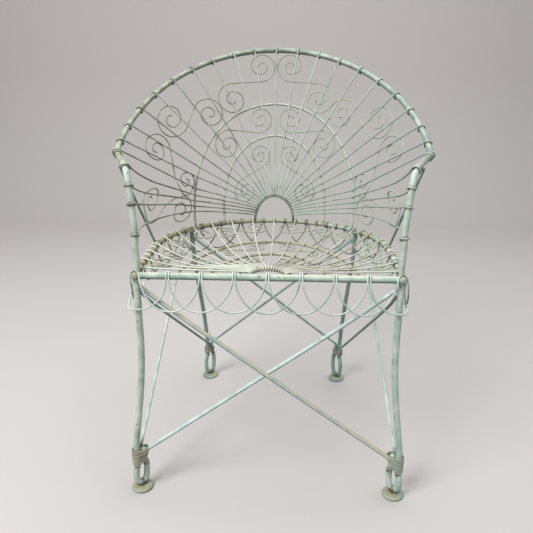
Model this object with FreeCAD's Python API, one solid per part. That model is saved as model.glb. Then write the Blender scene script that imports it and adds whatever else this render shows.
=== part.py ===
# Wirework garden armchair with a barrel back.
# Heavy rods make the frame: a back hoop that comes down as arms, a D-shaped seat rim, a front rail, four legs
# with hairpin eyes at the feet, and crossing braces. Thin wires fill it: a fan in the back and one in the seat,
# each hooked round the rods, with arches and S-scrolls behind the fans and a looped apron round the seat.
# Millimetres. +Z is up and the chair faces -Y. The origin is on the floor, under the middle of the chair's box.
# Left and right are as seen from the front.
import FreeCAD, Part
import math
import os

V = FreeCAD.Vector
UP = V(0, 0, 1)

# Seat rim and rail
SEAT_H = 437.0            # centre lines of rim and rail above the floor
RIM_BEND = 235.0          # radius of the rim's round back
SIDE_RUN = 190.0          # straight side of the rim, from rail to round back
FRONT = -249.64           # y of the front rail
RIM_R = 5.0
RAIL_R = 6.0
KNUCKLE_R = 7.0           # barrel-shaped front ends of the rim
KNUCKLE_HALF = 7.0        # half length of a barrel

# Back hoop: a crown that lies on an upright cylinder and in one sloping plane, level arms, and bowed arm posts
HOOP_R = 5.7
HOOP_BEND = 306.0         # plan radius of the crown
HOOP_MID = -47.0          # y where the crown meets the arms, and the centre of its radius
HOOP_TOP = 830.0          # top of the crown above the floor, and its ends
HOOP_LOW = 622.0
ARM_END = (238.0, -217.0, 616.0)      # corner where an arm turns down
POST_WAIST = (226.0, -227.0, 515.0)   # inmost place of an arm post
POST_BACK = 17.65         # from the front rail to a post's foot
HOOP_BENDS = (12.0, 30.0, 150.0)      # roundings of those corners: crown end, arm end and waist
CROWN_PIECES = 15         # straight runs in half the crown
BEND_POINTS = 6           # points of each rounding
LEAN = math.radians(12.0)             # outward lean of the arches from the rim

# Sections: each rod and wire is a polygon of the same area as its round section
ROD_SIDES = 10
DISC_SIDES = 18           # feet and barrels
ARCH_SIDES = 6
WIRE_SIDES = 4
BIND_SIDES = 4
SCROLL_SIDES = 4
ROD_CHORD = 0.25          # how far a straight run may stand off its arc
WIRE_R = 1.6              # fan and apron wire
SCROLL_R = 1.4
GAP = 0.3                 # air between a wire and the rod that it lies against or goes round
HOOK_STEP = 60            # degrees that a hook turns at each of its corners
RING_HOOK = 3             # corners of a hook over a half ring, round the hoop or rim, and over the apron's rods
ROD_HOOK = 5
APRON_HOOK = 4

# Back fan
BACK_RING = (47.0, 62.0)  # half width and height of the half ring at the root of the back fan
ARCH_R = 2.75             # rod of the rings and arches
FAN_STEPS = (52, 51, 54, 57, 59, 60, 59, 58, 49, 34, 169, 33, 32, 52)   # wraps along the hoop from its top
FAN_CROSSING = (6.9, 13.5, 20.5, 27.9, 35.4, 42.8, 49.0, 55.0, 60.3, 66.7, 70.5, 73.6, 76.7, 79.7)
#                         degrees from upright, seen from the rim's middle, where each wire crosses the outer arch
FAN_BOW = (0,) * 10 + (26, 40, 40, 38)   # outward bow of each wire between that arch and the hoop
FAN_SPREAD = 76.0         # degrees each side of upright, at the ring
CROWN_WIRES = 7           # wires on each side that end on the crown's upper half; the others end on the arm
FAN_RUN = 60.0            # longest straight run across the curved back
BOW_PIECES = 6            # straight runs of a bowed wire between the outer arch and the hoop
BACK_ARCHES = {"outer": (205.0, 277.0, 1.65), "inner": (124.0, 203.0, 2.1)}   # half width, height, power

# Seat fan
SEAT_WIRES = 10           # each side of the middle one
SEAT_SPREAD = 84.0
SEAT_RING = 36.0          # radius of the half ring at the root of the seat fan
DISH = 24.0               # sag of the longest seat wires
DISH_START = 100.0        # from the rail to the full sag
SEAT_ARCHES = {"outer": (160.0, 300.0, 2.4), "inner": (100.0, 210.0, 2.4)}

# Scrolls: centre, radius where the wire leaves it, for both ends, and the sense of the first end (1 is
# anticlockwise). Back ones as arc length across and height up the slope, seat ones as x and depth.
BACK_BORDER = (
    ((34, 364), 35, (101, 287), 38, 1),
    ((158, 255), 38, (250, 248), 41, -1),
    ((300, 190), 37, (230, 109), 32, 1),
    ((373, 95), 35, (252, 50), 32, -1),
)
BACK_MIDDLE = (((38, 242), 32, (117, 182), 36, 1),)
BACK_INNER = (((38, 157), 27, (71, 72), 30, 1),)
SEAT_BORDER = (
    ((40, 378), 30, (110, 330), 30, 1),
    ((160, 300), 30, (200, 225), 26, -1),
    ((195, 148), 26, (200, 72), 26, 1),
)
SEAT_MIDDLE = (((36, 255), 22, (88, 205), 22, 1), ((121, 130), 17, (130, 60), 17, -1))
SEAT_INNER = (((34, 150), 22, (62, 90), 22, 1),)
CURL_TURNS = 1.7
CURL_SHRINK = 0.5         # share of the first radius that a curl loses in each turn
CURL_STEPS = 12
JOIN_RUN = 45.0           # longest straight run between the two curls of a scroll

# Apron of overlapping loops
FRONT_PITCHES = 8
LOOP_DEPTH = 62.0
LOOP_POWER = 1.7
LOOP_PIECES = 8
STRAND_GAP = 2.1          # half spacing of the two strands at a wrap
SWAY = 2.3                # each loop starts outside its neighbour and ends inside it
CORNER_STEP = 9.8         # from a front corner to the strand on the rail beside it
POST_CLEAR = 19.0         # from an arm post's foot to the wrap behind it

# Legs, feet and ankle bindings
FRONT_LEG_R = 6.0
REAR_LEG_R = 5.0
KNEE_H = 307.0
EYE_BEND = 9.5            # centre-line radius of the hairpin at the foot
EYE_TOP = 4.5             # from a binding's lowest turn down to where the rods spread for the eye
FOOT_R = 20.0
FOOT_H = 8.0
FOOT_EDGE = 2.5
FOOT_SEAT = 1.2           # how deep the hairpin sits in the foot
BIND_R = 1.7
BIND_PITCH = 4.3

# Braces
FRONT_BRACE_R = 3.7
FRONT_BRACE_DROP = 18.0   # from the rail down to a front brace's upper end
FRONT_BRACE_H = 85.0      # lower end, just above the binding
BRACE_SET_BACK = 2.3      # from the rail's plane to the crossing of the front braces
BRACE_R = 2.8
SIDE_BRACE_H = 93.5       # lower end of a side brace
SIDE_BRACE_S = 230.0      # where a side brace meets the rim, just ahead of the rear leg
REAR_LEG_S = 222.0        # where a rear leg meets the rim
ELBOW = 14.0              # bend of the rear brace
ELBOW_H = 106.0           # height of the bend, on the inner side of the rear ankle
REAR_BRACE_DROPS = (30.0, 14.0)   # from the rim down to a rear brace's front and back ends
STAY_R = 2.5
STAY_BEND = 30.0
STAY_FOOT = 358.0         # where an arm stay meets the rim
STAY_LAP = (640.0, 668.0) # lengths along the hoop between which its upper end lies under the arm


def unit(v):
    """Direction of a vector."""
    return v * (1.0 / v.Length)


def mirror(points, side):
    """Points of a left or right copy; side is -1 or 1."""
    return [V(side * p.x, p.y, p.z) for p in points]


# Curves made of arcs

def arc_from(p, t, q):
    """Edge from p to q that leaves p along t: an arc, or a line where q lies straight ahead."""
    chord = q - p
    off = chord - t * chord.dot(t)
    if off.Length < 1e-5 * chord.Length:
        return Part.LineSegment(p, q).toShape()
    inward = unit(off)
    radius = chord.Length ** 2 / (2 * chord.dot(inward))
    centre = p + inward * radius
    middle = centre + unit((p - centre) + (q - centre)) * radius
    return Part.Arc(p, middle, q).toShape()


def biarc(p0, t0, p1, t1):
    """Two arcs from p0 to p1 with the given end directions and one direction where they meet."""
    chord = p1 - p0
    both = t0 + t1
    spread = 2 * (1 - t0.dot(t1))
    ahead = chord.dot(both)
    if spread < 1e-9:
        reach = chord.dot(chord) / (4 * chord.dot(t1))
    else:
        reach = (math.sqrt(ahead ** 2 + spread * chord.dot(chord)) - ahead) / spread
    meet = (p0 + p1 + (t0 - t1) * reach) * 0.5
    if (p1 - p0).cross(t0).Length < 1e-6 * chord.Length and spread < 1e-9:
        return [Part.LineSegment(p0, p1).toShape()]
    second = arc_from(p1, t1 * -1, meet)
    second.reverse()
    return [arc_from(p0, t0, meet), second]


def chain(stations):
    """Edges through a list of (point, direction)."""
    edges = []
    for (p0, t0), (p1, t1) in zip(stations, stations[1:]):
        edges += biarc(p0, t0, p1, t1)
    return edges


def elbow_edges(a, corner, b, bend):
    """Two straight runs joined by an arc at the corner."""
    to_a = unit(a - corner)
    to_b = unit(b - corner)
    half = math.acos(to_a.dot(to_b)) / 2
    cut = bend / math.tan(half)
    centre = corner + unit(to_a + to_b) * (bend / math.sin(half))
    middle = centre - unit(to_a + to_b) * bend
    p = corner + to_a * cut
    q = corner + to_b * cut
    return [Part.LineSegment(a, p).toShape(), Part.Arc(p, middle, q).toShape(), Part.LineSegment(q, b).toShape()]


def even_circle(radius, sides):
    """Corner radius of the regular polygon whose area is that of the circle."""
    return radius * math.sqrt(2 * math.pi / (sides * math.sin(2 * math.pi / sides)))


def facet(corners):
    """Flat face through its corners."""
    return Part.Face(Part.makePolygon(corners + corners[:1]))


def skin(rings):
    """Solid between polygon rings of equal count, closed by the first and last ring."""
    count = len(rings[0])
    faces = [facet(rings[0][::-1]), facet(rings[-1])]
    for near, far in zip(rings, rings[1:]):
        for i in range(count):
            j = (i + 1) % count
            faces.append(facet([near[i], near[j], far[j], far[i]]))
    shell = Part.Shell(faces)
    shell.sewShape()
    return Part.Solid(shell)


def ring_of(centre, across, upright, radius, sides):
    """Corners of the regular polygon that stands for a circle."""
    corner = even_circle(radius, sides)
    turns = [2 * math.pi * i / sides for i in range(sides)]
    return [centre + (across * math.cos(a) + upright * math.sin(a)) * corner for a in turns]


def turned(centre, axis, profile):
    """Disc or barrel about an axis, from (radius, distance along the axis) pairs."""
    across = V(1, 0, 0)
    return skin([ring_of(centre + axis * z, across, axis.cross(across), r, DISC_SIDES) for r, z in profile])


def wire(points, radius, sides=WIRE_SIDES):
    """Rod or wire along straight runs: a polygon section, mitred at each bend."""
    runs = [unit(b - a) for a, b in zip(points, points[1:])]
    across = unit(runs[0].cross(V(0.3, 0.5, 0.81)))
    rings = [ring_of(points[0], across, runs[0].cross(across), radius, sides)]
    for i, along in enumerate(runs):
        last = i + 1 == len(runs)
        normal = along if last else unit(along + runs[i + 1])
        place = points[i + 1]
        rings.append([q + along * ((place - q).dot(normal) / along.dot(normal)) for q in rings[-1]])
    return skin(rings)


def rod(edges, radius):
    """Rod along joined lines and arcs."""
    return wire(Part.Wire(edges).discretize(Deflection=ROD_CHORD), radius, ROD_SIDES)


def bar(a, b, radius):
    """Straight rod from a to b."""
    return wire([a, b], radius, ROD_SIDES)


def hook(centre, front, across, contact, count, start=-HOOK_STEP / 2):
    """Corner points of a wire bent round a rod: each run touches the circle of the given contact radius.

    Angles are in degrees from the rod's front towards the across direction.
    """
    radius = contact / math.cos(math.radians(HOOK_STEP / 2))
    angles = [math.radians(start + HOOK_STEP * i) for i in range(count)]
    return [centre + (front * math.cos(a) + across * math.sin(a)) * radius for a in angles]


# The back surface

HALF_BEND = RIM_BEND * math.pi / 2
HALF_RIM = HALF_BEND + SIDE_RUN
MID_Y = FRONT + SIDE_RUN


def rim_point(s):
    """Point of the rim's centre line and its outward direction, at arc length s from the back centre."""
    turn = max(-1.0, min(1.0, s / HALF_BEND)) * math.pi / 2
    ahead = max(0.0, abs(s) - HALF_BEND)
    out = V(math.sin(turn), math.cos(turn), 0)
    return V(0, MID_Y, SEAT_H) + out * RIM_BEND - V(0, ahead, 0), out


def back_point(s, v, n=0.0):
    """Point of the back: s along the rim, v up the slope, n square to the surface (outwards)."""
    foot, out = rim_point(s)
    level = out * (v * math.sin(LEAN) + n * math.cos(LEAN))
    return foot + level + UP * (v * math.cos(LEAN) - n * math.sin(LEAN))


def back_front(s):
    """Direction square to the back surface, towards the sitter."""
    out = rim_point(s)[1]
    return UP * math.sin(LEAN) - out * math.cos(LEAN)


def across_to_s(a, v):
    """Arc length along the rim, from a true length across the back at height v."""
    return a / (1 + v * math.sin(LEAN) / RIM_BEND)


WIRE_CORNER = even_circle(WIRE_R, WIRE_SIDES)


def clear_of(radius, sides=ROD_SIDES):
    """Distance between the centre lines of a thin wire and the rod that it lies against."""
    return even_circle(radius, sides) + WIRE_CORNER + GAP


FAN_N = -clear_of(HOOP_R)                         # fan wires lie in front of the hoop
ARCH_N = FAN_N + clear_of(ARCH_R, ARCH_SIDES)     # rings, arches and scrolls lie just behind them
SCROLL_N = FAN_N + clear_of(SCROLL_R, SCROLL_SIDES)
BORDER_N = SCROLL_N + 5 * GAP                     # more room where the wires are bowed


# Back hoop

def hoop_points():
    """Half hoop from its top: the crown as part of an ellipse, then arm and post with rounded corners."""
    turns = [math.pi / 2 * i / CROWN_PIECES for i in range(CROWN_PIECES + 1)]
    rise = HOOP_TOP - HOOP_LOW
    points = []
    for t in turns:
        out = V(math.sin(t), math.cos(t), 0) * HOOP_BEND
        points.append(V(0, HOOP_MID, HOOP_LOW) + out + UP * (rise * math.cos(t)))
    corners = [points.pop(), V(*ARM_END), V(*POST_WAIST), V(RIM_BEND, FRONT + POST_BACK, SEAT_H)]
    before = [points[-1]] + corners
    for a, corner, b, bend in zip(before, corners, corners[1:], HOOP_BENDS):
        points += elbow_edges(a, corner, b, bend)[1].discretize(Number=BEND_POINTS)
    return points + corners[-1:]


HOOP = hoop_points()


def hoop_lengths():
    """Length along the half hoop at each of its points."""
    lengths = [0.0]
    for a, b in zip(HOOP, HOOP[1:]):
        lengths.append(lengths[-1] + (b - a).Length)
    return lengths


LENGTHS = hoop_lengths()


def hoop_at(length):
    """Point and rod direction at a length along the half hoop."""
    i = max(j for j in range(len(LENGTHS) - 1) if LENGTHS[j] <= length)
    along = unit(HOOP[i + 1] - HOOP[i])
    return HOOP[i] + along * (length - LENGTHS[i]), along


def back_hoop():
    return wire(mirror(HOOP[:0:-1], -1) + HOOP, HOOP_R, ROD_SIDES)


# Back fan, arches and scrolls

def ring_seat(angle):
    """Layout point of the back's half ring, by its angle from upright."""
    return BACK_RING[0] * math.sin(angle), BACK_RING[1] * math.cos(angle)


def arch_reach(angle):
    """True length from the rim's middle up to the outer arch, at an angle from upright (by halving)."""
    half_width, height, power = BACK_ARCHES["outer"]
    low, high = 0.0, half_width + height
    for _ in range(40):
        reach = (low + high) / 2
        v = reach * math.cos(angle)
        s = across_to_s(reach * math.sin(angle), v)
        if (s / half_width) ** 2 + (v / height) ** power < 1:
            low = reach
        else:
            high = reach
    return low


def crossing(angle, n=0.0):
    """Point over the outer arch at an angle from upright."""
    reach = arch_reach(angle)
    v = reach * math.cos(angle)
    s = across_to_s(reach * math.sin(angle), v)
    return back_point(s, v, n), s, v


AIMS = [0.0] + [math.radians(a) for a in FAN_CROSSING] + [math.pi / 2]
REACHED = [float(sum(FAN_STEPS[:k])) for k in range(len(FAN_STEPS) + 1)] + [LENGTHS[-1]]
BOWS = [0.0] + list(FAN_BOW) + [FAN_BOW[-1]]


def between(angle, values):
    """Value at an angle from upright, between those of the two nearest fan wires."""
    i = max(j for j in range(len(AIMS) - 1) if AIMS[j] <= angle)
    t = (angle - AIMS[i]) / (AIMS[i + 1] - AIMS[i])
    return values[i] + (values[i + 1] - values[i]) * t


def bowed(near, far, share, bow):
    """Point between the outer arch and the hoop: straight, or bowed outwards as a parabola."""
    point = near + (far - near) * share
    out = unit(V(point.x, max(0.0, point.y - MID_Y), 0))
    return point + out * (bow * 4 * share * (1 - share))


def back_base(a, v):
    """Middle surface of the back: the leaning barrel up to the outer arch, and from there to the hoop."""
    angle = min(math.atan2(max(0.0, a), v), AIMS[-1] - 1e-6)
    reach = math.hypot(a, v)
    edge = arch_reach(angle)
    if reach <= edge:
        return back_point(across_to_s(a, v), v)
    near = crossing(angle)[0]
    far = hoop_at(between(angle, REACHED))[0]
    return bowed(near, far, (reach - edge) / (far - near).Length, between(angle, BOWS))


def back_map(a, v, n):
    """Point at n behind the middle surface; a and v are true lengths across and up."""
    across = back_base(a + 1, v) - back_base(a - 1, v)
    upward = back_base(a, v + 1) - back_base(a, v - 1)
    return back_base(a, v) - unit(across.cross(upward)) * n


def back_fan_wire(k, side):
    """Fan wire k from the middle: hooked over the half ring, across the arches, and wrapped round the hoop."""
    angle = math.radians(FAN_SPREAD * k / len(FAN_STEPS))
    s0, v0 = ring_seat(angle)
    front0 = back_front(s0)
    centre0 = back_point(s0, v0, ARCH_N)
    inward = unit(back_point(s0 * 0.9, v0 * 0.9, ARCH_N) - centre0)
    near = hook(centre0, front0, inward, clear_of(ARCH_R, ARCH_SIDES), RING_HOOK)
    over, s1, v1 = crossing(AIMS[k], FAN_N - GAP)
    rod_centre, along = hoop_at(REACHED[k])
    if k == 0:
        along = V(1, 0, 0)
    arriving = rod_centre - over
    outward = unit(arriving - along * arriving.dot(along))
    front1 = along.cross(outward)
    if front1.dot(V(0, HOOP_MID, rod_centre.z) - rod_centre) < 0:
        front1 = front1 * -1
    far = hook(rod_centre, front1, outward, clear_of(HOOP_R), ROD_HOOK)
    pieces = math.ceil((s1 - s0 + 1) / FAN_RUN)
    run = [(s0 + (s1 - s0) * i / pieces, v0 + (v1 - v0) * i / pieces) for i in range(1, pieces)]
    points = near[::-1] + [back_point(s, v, FAN_N) for s, v in run] + [over]
    if BOWS[k]:
        points += [bowed(over, far[0], i / BOW_PIECES, BOWS[k]) for i in range(1, BOW_PIECES)]
    return wire(mirror(points + far, side), WIRE_R)


def arch_layout(half_width, height, power, pieces):
    """Points of an arch: the squares and powers of its two shares add up to one."""
    points = []
    for i in range(pieces + 1):
        t = math.pi * i / pieces
        points.append((-half_width * math.cos(t), height * math.sin(t) ** (2 / power)))
    return points


def back_arch(name):
    layout = arch_layout(*BACK_ARCHES[name], 20)
    return wire([back_point(s, v, ARCH_N) for s, v in layout], ARCH_R, ARCH_SIDES)


def back_ring():
    layout = arch_layout(*BACK_RING, 2.0, 16)
    return wire([back_point(s, v, ARCH_N) for s, v in layout], ARCH_R, ARCH_SIDES)


def curl(centre, radius, angle, spin):
    """Spiral from its outer end inwards: the radius shrinks evenly with the turn."""
    points = []
    for i in range(CURL_STEPS + 1):
        turn = CURL_TURNS * i / CURL_STEPS
        r = radius * (1 - CURL_SHRINK * turn)
        a = angle + spin * 2 * math.pi * turn
        points.append((centre[0] + r * math.cos(a), centre[1] + r * math.sin(a)))
    return points


def scroll_layout(c1, r1, c2, r2, sense):
    """S-scroll: two spirals of opposite turn, joined by the line that touches both."""
    dx, dy = c2[0] - c1[0], c2[1] - c1[1]
    heading = math.atan2(dy, dx) + sense * math.asin((r1 + r2) / math.hypot(dx, dy))
    first = curl(c1, r1, heading - sense * math.pi / 2, -sense)
    second = curl(c2, r2, heading + sense * math.pi / 2, -sense)
    (x0, y0), (x1, y1) = first[0], second[0]
    pieces = math.ceil(math.hypot(x1 - x0, y1 - y0) / JOIN_RUN)
    join = [(x0 + (x1 - x0) * i / pieces, y0 + (y1 - y0) * i / pieces) for i in range(1, pieces)]
    return first[::-1] + join + second


def back_scroll(scroll, side, n=SCROLL_N):
    points = [back_map(a, v, n) for a, v in scroll_layout(*scroll)]
    return wire(mirror(points, side), SCROLL_R, SCROLL_SIDES)


# Seat fan, arches and scrolls

SEAT_TOP = SEAT_H + clear_of(RIM_R)             # wire centres where they cross the rim
RING_Y = FRONT + RAIL_R                         # centre of the seat's half ring


def reach_to_rim(x, y):
    """Distance from the ring's centre to the rim, in the direction of a point of the seat."""
    angle = math.atan2(abs(x), max(y - RING_Y, 1e-6))
    to_bend = MID_Y - RING_Y
    if math.tan(angle) * to_bend >= RIM_BEND:
        return RIM_BEND / math.sin(angle)
    return to_bend * math.cos(angle) + math.sqrt(RIM_BEND ** 2 - (to_bend * math.sin(angle)) ** 2)


LONGEST = MID_Y + RIM_BEND - RING_Y - SEAT_RING


def seat_point(x, y, drop=0.0):
    """Point of the dished seat: each line from the ring to the rim sags as a parabola, easing in from the rail."""
    reach = reach_to_rim(x, y) - SEAT_RING
    share = (math.hypot(x, y - RING_Y) - SEAT_RING) / reach
    share = max(0.0, min(1.0, share))
    start = max(0.0, min(1.0, (y - FRONT) / DISH_START))
    sag = DISH * 4 * share * (1 - share) * reach / LONGEST * start * start * (3 - 2 * start)
    return V(x, y, SEAT_TOP - sag - drop)


ARCH_DROP = clear_of(ARCH_R, ARCH_SIDES)
SCROLL_DROP = clear_of(SCROLL_R, SCROLL_SIDES)
RIM_PITCH = HALF_RIM / (SEAT_WIRES + 0.5)       # seat wires along the rim, with apron wraps midway


def seat_fan_wire(k, side):
    """Seat wire k from the middle: hooked over the half ring, sagging to the rim and wrapped round it."""
    angle = math.radians(SEAT_SPREAD * k / SEAT_WIRES)
    out0 = V(math.sin(angle), math.cos(angle), 0)
    start = V(0, RING_Y, 0) + out0 * SEAT_RING
    centre0 = V(start.x, start.y, SEAT_TOP - ARCH_DROP)
    near = hook(centre0, UP, out0 * -1, ARCH_DROP, RING_HOOK)
    rim, out1 = rim_point(RIM_PITCH * k)
    far = hook(rim, UP, out1, clear_of(RIM_R), ROD_HOOK)
    pieces = 8
    run = [start + (rim - start) * (i / pieces) for i in range(1, pieces)]
    points = near[::-1] + [seat_point(p.x, p.y) for p in run] + far
    return wire(mirror(points, side), WIRE_R)


def seat_arch(name):
    layout = arch_layout(*SEAT_ARCHES[name], 16)
    return wire([seat_point(x, FRONT + y, ARCH_DROP) for x, y in layout], ARCH_R, ARCH_SIDES)


def seat_ring():
    layout = arch_layout(SEAT_RING, SEAT_RING, 2.0, 14)
    points = [V(x, RING_Y + y, SEAT_TOP - ARCH_DROP) for x, y in layout]
    feet = [V(p.x, FRONT, p.z) for p in (points[0], points[-1])]
    return wire(feet[:1] + points + feet[1:], ARCH_R, ARCH_SIDES)


def seat_scroll(scroll, side):
    points = [seat_point(x, FRONT + y, SCROLL_DROP) for x, y in scroll_layout(*scroll)]
    return wire(mirror(points, side), SCROLL_R, SCROLL_SIDES)


# Seat rim, rail and apron

def corner_point(side):
    """Where rim, rail and front leg meet."""
    return V(side * RIM_BEND, FRONT, SEAT_H)


def seat_rim():
    left, right = corner_point(-1), corner_point(1)
    bend_left = V(-RIM_BEND, MID_Y, SEAT_H)
    bend_right = V(RIM_BEND, MID_Y, SEAT_H)
    edges = [
        Part.LineSegment(left, bend_left).toShape(),
        Part.Arc(bend_left, V(0, MID_Y + RIM_BEND, SEAT_H), bend_right).toShape(),
        Part.LineSegment(bend_right, right).toShape(),
    ]
    narrow, ease = 0.6 * KNUCKLE_R, 0.5 * KNUCKLE_HALF
    profile = [(narrow, -KNUCKLE_HALF), (KNUCKLE_R, -ease), (KNUCKLE_R, ease), (narrow, KNUCKLE_HALF)]
    knuckles = [turned(p, V(0, 1, 0), profile) for p in (left, right)]
    return rod(edges, RIM_R).multiFuse(knuckles)


FRONT_PITCH = 2 * RIM_BEND / FRONT_PITCHES
AROUND = 2 * RIM_BEND + 2 * HALF_RIM
CORNER_TURN = clear_of(RAIL_R) * math.pi / 4    # half the stretch over which the apron turns a front corner


def apron_place(w):
    """Rail or rim centre line and outward direction, at w along the seat's edge.

    w is 0 at the left front corner, grows along the rail to the right corner, and goes on round the rim.
    Within CORNER_TURN of a corner the place is the corner itself and the outward direction turns there, so
    the apron goes round the leg in an arc. From there to the first wrap on the rail the places close up.
    """
    w = w % AROUND
    for corner, side in ((0.0, -1), (2 * RIM_BEND, 1), (AROUND, -1)):
        away = w - corner
        if abs(away) < CORNER_TURN + 1e-6:
            turn = math.pi / 4 * (1 + side * away / CORNER_TURN)
            return corner_point(side), V(side * math.sin(turn), -math.cos(turn), 0)
        if abs(away) < FRONT_PITCH:
            near = (abs(away) - CORNER_TURN) * FRONT_PITCH / (FRONT_PITCH - CORNER_TURN)
            w = corner + math.copysign(near, away)
            break
    w = w % AROUND
    if w <= 2 * RIM_BEND:
        return V(w - RIM_BEND, FRONT, SEAT_H), V(0, -1, 0)
    return rim_point(HALF_RIM - (w - 2 * RIM_BEND))


def corner_strand():
    """w from a front corner to the strand on the rail beside it, whose place is CORNER_STEP from the corner."""
    return CORNER_TURN + CORNER_STEP * (FRONT_PITCH - CORNER_TURN) / FRONT_PITCH


def apron_loop(start, end):
    """Hanging loop between two strands: down outside the rod, a rounded bottom, and up to the other one.

    A loop that turns a front corner has more points there.
    """
    half = (end - start) / 2
    turns = [math.pi * i / LOOP_PIECES for i in range(1, LOOP_PIECES)]
    for corner in (0.0, 2 * RIM_BEND, AROUND):
        ws = [corner + CORNER_TURN * share for share in (-1.0, 0.0, 1.0)]
        turns += [math.acos(1 - (w - start) / half) for w in ws if start + STRAND_GAP < w < end - STRAND_GAP]
    points = []
    for t in sorted(turns):
        place, out = apron_place(start + half * (1 - math.cos(t)))
        stand = clear_of(RAIL_R) + SWAY * (1 + math.sin(2 * t))
        points.append(place + out * stand - UP * (LOOP_DEPTH * math.sin(t) ** (2 / LOOP_POWER)))
    tips = []
    for w in (start, end):
        place, out = apron_place(w)
        at_knuckle = (place - corner_point(math.copysign(1, place.x))).Length < STRAND_GAP
        contact = clear_of(KNUCKLE_R, DISC_SIDES) if at_knuckle else clear_of(RIM_R)
        if place.y < FRONT + STRAND_GAP and not at_knuckle:
            contact = clear_of(RAIL_R)
        tips.append(hook(place, out, UP, contact, RING_HOOK if at_knuckle else APRON_HOOK, HOOK_STEP / 4))
    return wire(tips[0][::-1] + points + tips[1], WIRE_R)


def apron_wraps():
    """Pairs of strands along the seat's edge: where one loop ends and where another starts.

    They are even on the rail, and midway between seat wires on the rim. The first and last pairs on the rim
    stand just behind the arm posts. At a corner one strand is on the rail and the other outside the knuckle.
    """
    rail = [FRONT_PITCH * i for i in range(1, FRONT_PITCHES)]
    first = POST_BACK + POST_CLEAR
    rim = [first] + [RIM_PITCH * i for i in range(2, 2 * SEAT_WIRES)] + [2 * HALF_RIM - first]
    pairs = [(w - STRAND_GAP, w + STRAND_GAP) for w in rail + [2 * RIM_BEND + w for w in rim]]
    pairs.insert(0, (-CORNER_TURN, corner_strand()))
    pairs.insert(FRONT_PITCHES, (2 * RIM_BEND - corner_strand(), 2 * RIM_BEND + CORNER_TURN))
    return pairs


def aprons():
    """Loops by the side that they hang on; a loop round a corner goes with the side that it starts on."""
    wraps = apron_wraps()
    groups = {"front": [], "right": [], "back": [], "left": []}
    for i, (_, start) in enumerate(wraps):
        j = i + 2
        end = wraps[j % len(wraps)][0] + (AROUND if j >= len(wraps) else 0)
        if start < 2 * RIM_BEND:
            name = "front"
        elif start < 2 * RIM_BEND + SIDE_RUN:
            name = "right"
        elif start < AROUND - SIDE_RUN:
            name = "back"
        else:
            name = "left"
        groups[name].append(apron_loop(start, end))
    return groups


# Legs, feet and ankle bindings. Each leg is described on the right side.

REAR_TOP = rim_point(REAR_LEG_S)[0] - rim_point(REAR_LEG_S)[1] * RIM_R   # on the inner side of the rim

LEGS = {
    "front": {
        "radius": FRONT_LEG_R,
        "stations": [
            (V(RIM_BEND, FRONT, SEAT_H), V(-0.10, 0, -1)),
            (V(RIM_BEND - 10, FRONT - 1, KNEE_H), V(0.01, 0, -1)),
            (V(RIM_BEND + 12, FRONT - 5, 104), V(0, 0, -1)),
        ],
        "eye": V(-0.75, 0.66, 0),        # from the leg to its turned-back end
        "end": 100.0,                    # height of the turned-back end
        "binding": (57.0, 5),            # lowest turn and number of turns
    },
    "rear": {
        "radius": REAR_LEG_R,
        "stations": [
            (REAR_TOP, V(-0.02, 0.15, -1)),
            (REAR_TOP + V(-2, 13, -68), V(-0.04, 0.28, -1)),     # still inside the apron
            (V(175, MID_Y + 240, 110), V(-0.02, 0.20, -1)),
            (V(175, MID_Y + 244, 86), V(0, 0, -1)),
        ],
        "eye": V(-0.8, 0.6, 0),
        "end": 90.0,
        "binding": (62.0, 3),
    },
}


def side_copy(p, side):
    return V(side * p.x, p.y, p.z)


def eye_points(leg, side):
    """Lower end of the leg's straight stretch, the turned-back end beside it, and the direction between them."""
    last = leg["stations"][-1][0]
    down = side_copy(V(last.x, last.y, leg["binding"][0] - EYE_TOP), side)
    across = unit(side_copy(leg["eye"], side))
    return down, down + across * (2 * even_circle(leg["radius"], ROD_SIDES) + GAP), across


def leg_rod(leg, side, rim, rail):
    """Leg from the rim down to the hairpin and up again to its turned-back end, fitted to rim and rail.

    The two rods touch at the binding, spread into a drop-shaped eye below it and meet in a round bottom.
    """
    stations = [(side_copy(p, side), unit(side_copy(t, side))) for p, t in leg["stations"]]
    down, back, across = eye_points(leg, side)
    low = FOOT_H - FOOT_SEAT + leg["radius"] + EYE_BEND
    middle = (down + back) * 0.5
    middle = V(middle.x, middle.y, low)
    outer, inner = middle - across * EYE_BEND, middle + across * EYE_BEND
    edges = chain(stations + [(down, UP * -1), (outer, UP * -1)])
    edges.append(Part.Arc(outer, middle - UP * EYE_BEND, inner).toShape())
    edges += chain([(inner, UP), (back, UP), (V(back.x, back.y, leg["end"]), UP)])
    return rod(edges, leg["radius"]).cut(rim).cut(rail)


def foot(leg, side, leg_solid):
    """Round foot with eased edges, with a seat for the hairpin's bottom."""
    down, back, _ = eye_points(leg, side)
    centre = (down + back) * 0.5
    small = FOOT_R - FOOT_EDGE
    profile = [(small, 0), (FOOT_R, FOOT_EDGE), (FOOT_R, FOOT_H - FOOT_EDGE), (small, FOOT_H)]
    return turned(V(centre.x, centre.y, 0), UP, profile).cut(leg_solid)


BIND_FLAT = even_circle(BIND_R, BIND_SIDES) * math.cos(math.pi / BIND_SIDES)   # from centre line to a flat side


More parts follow.
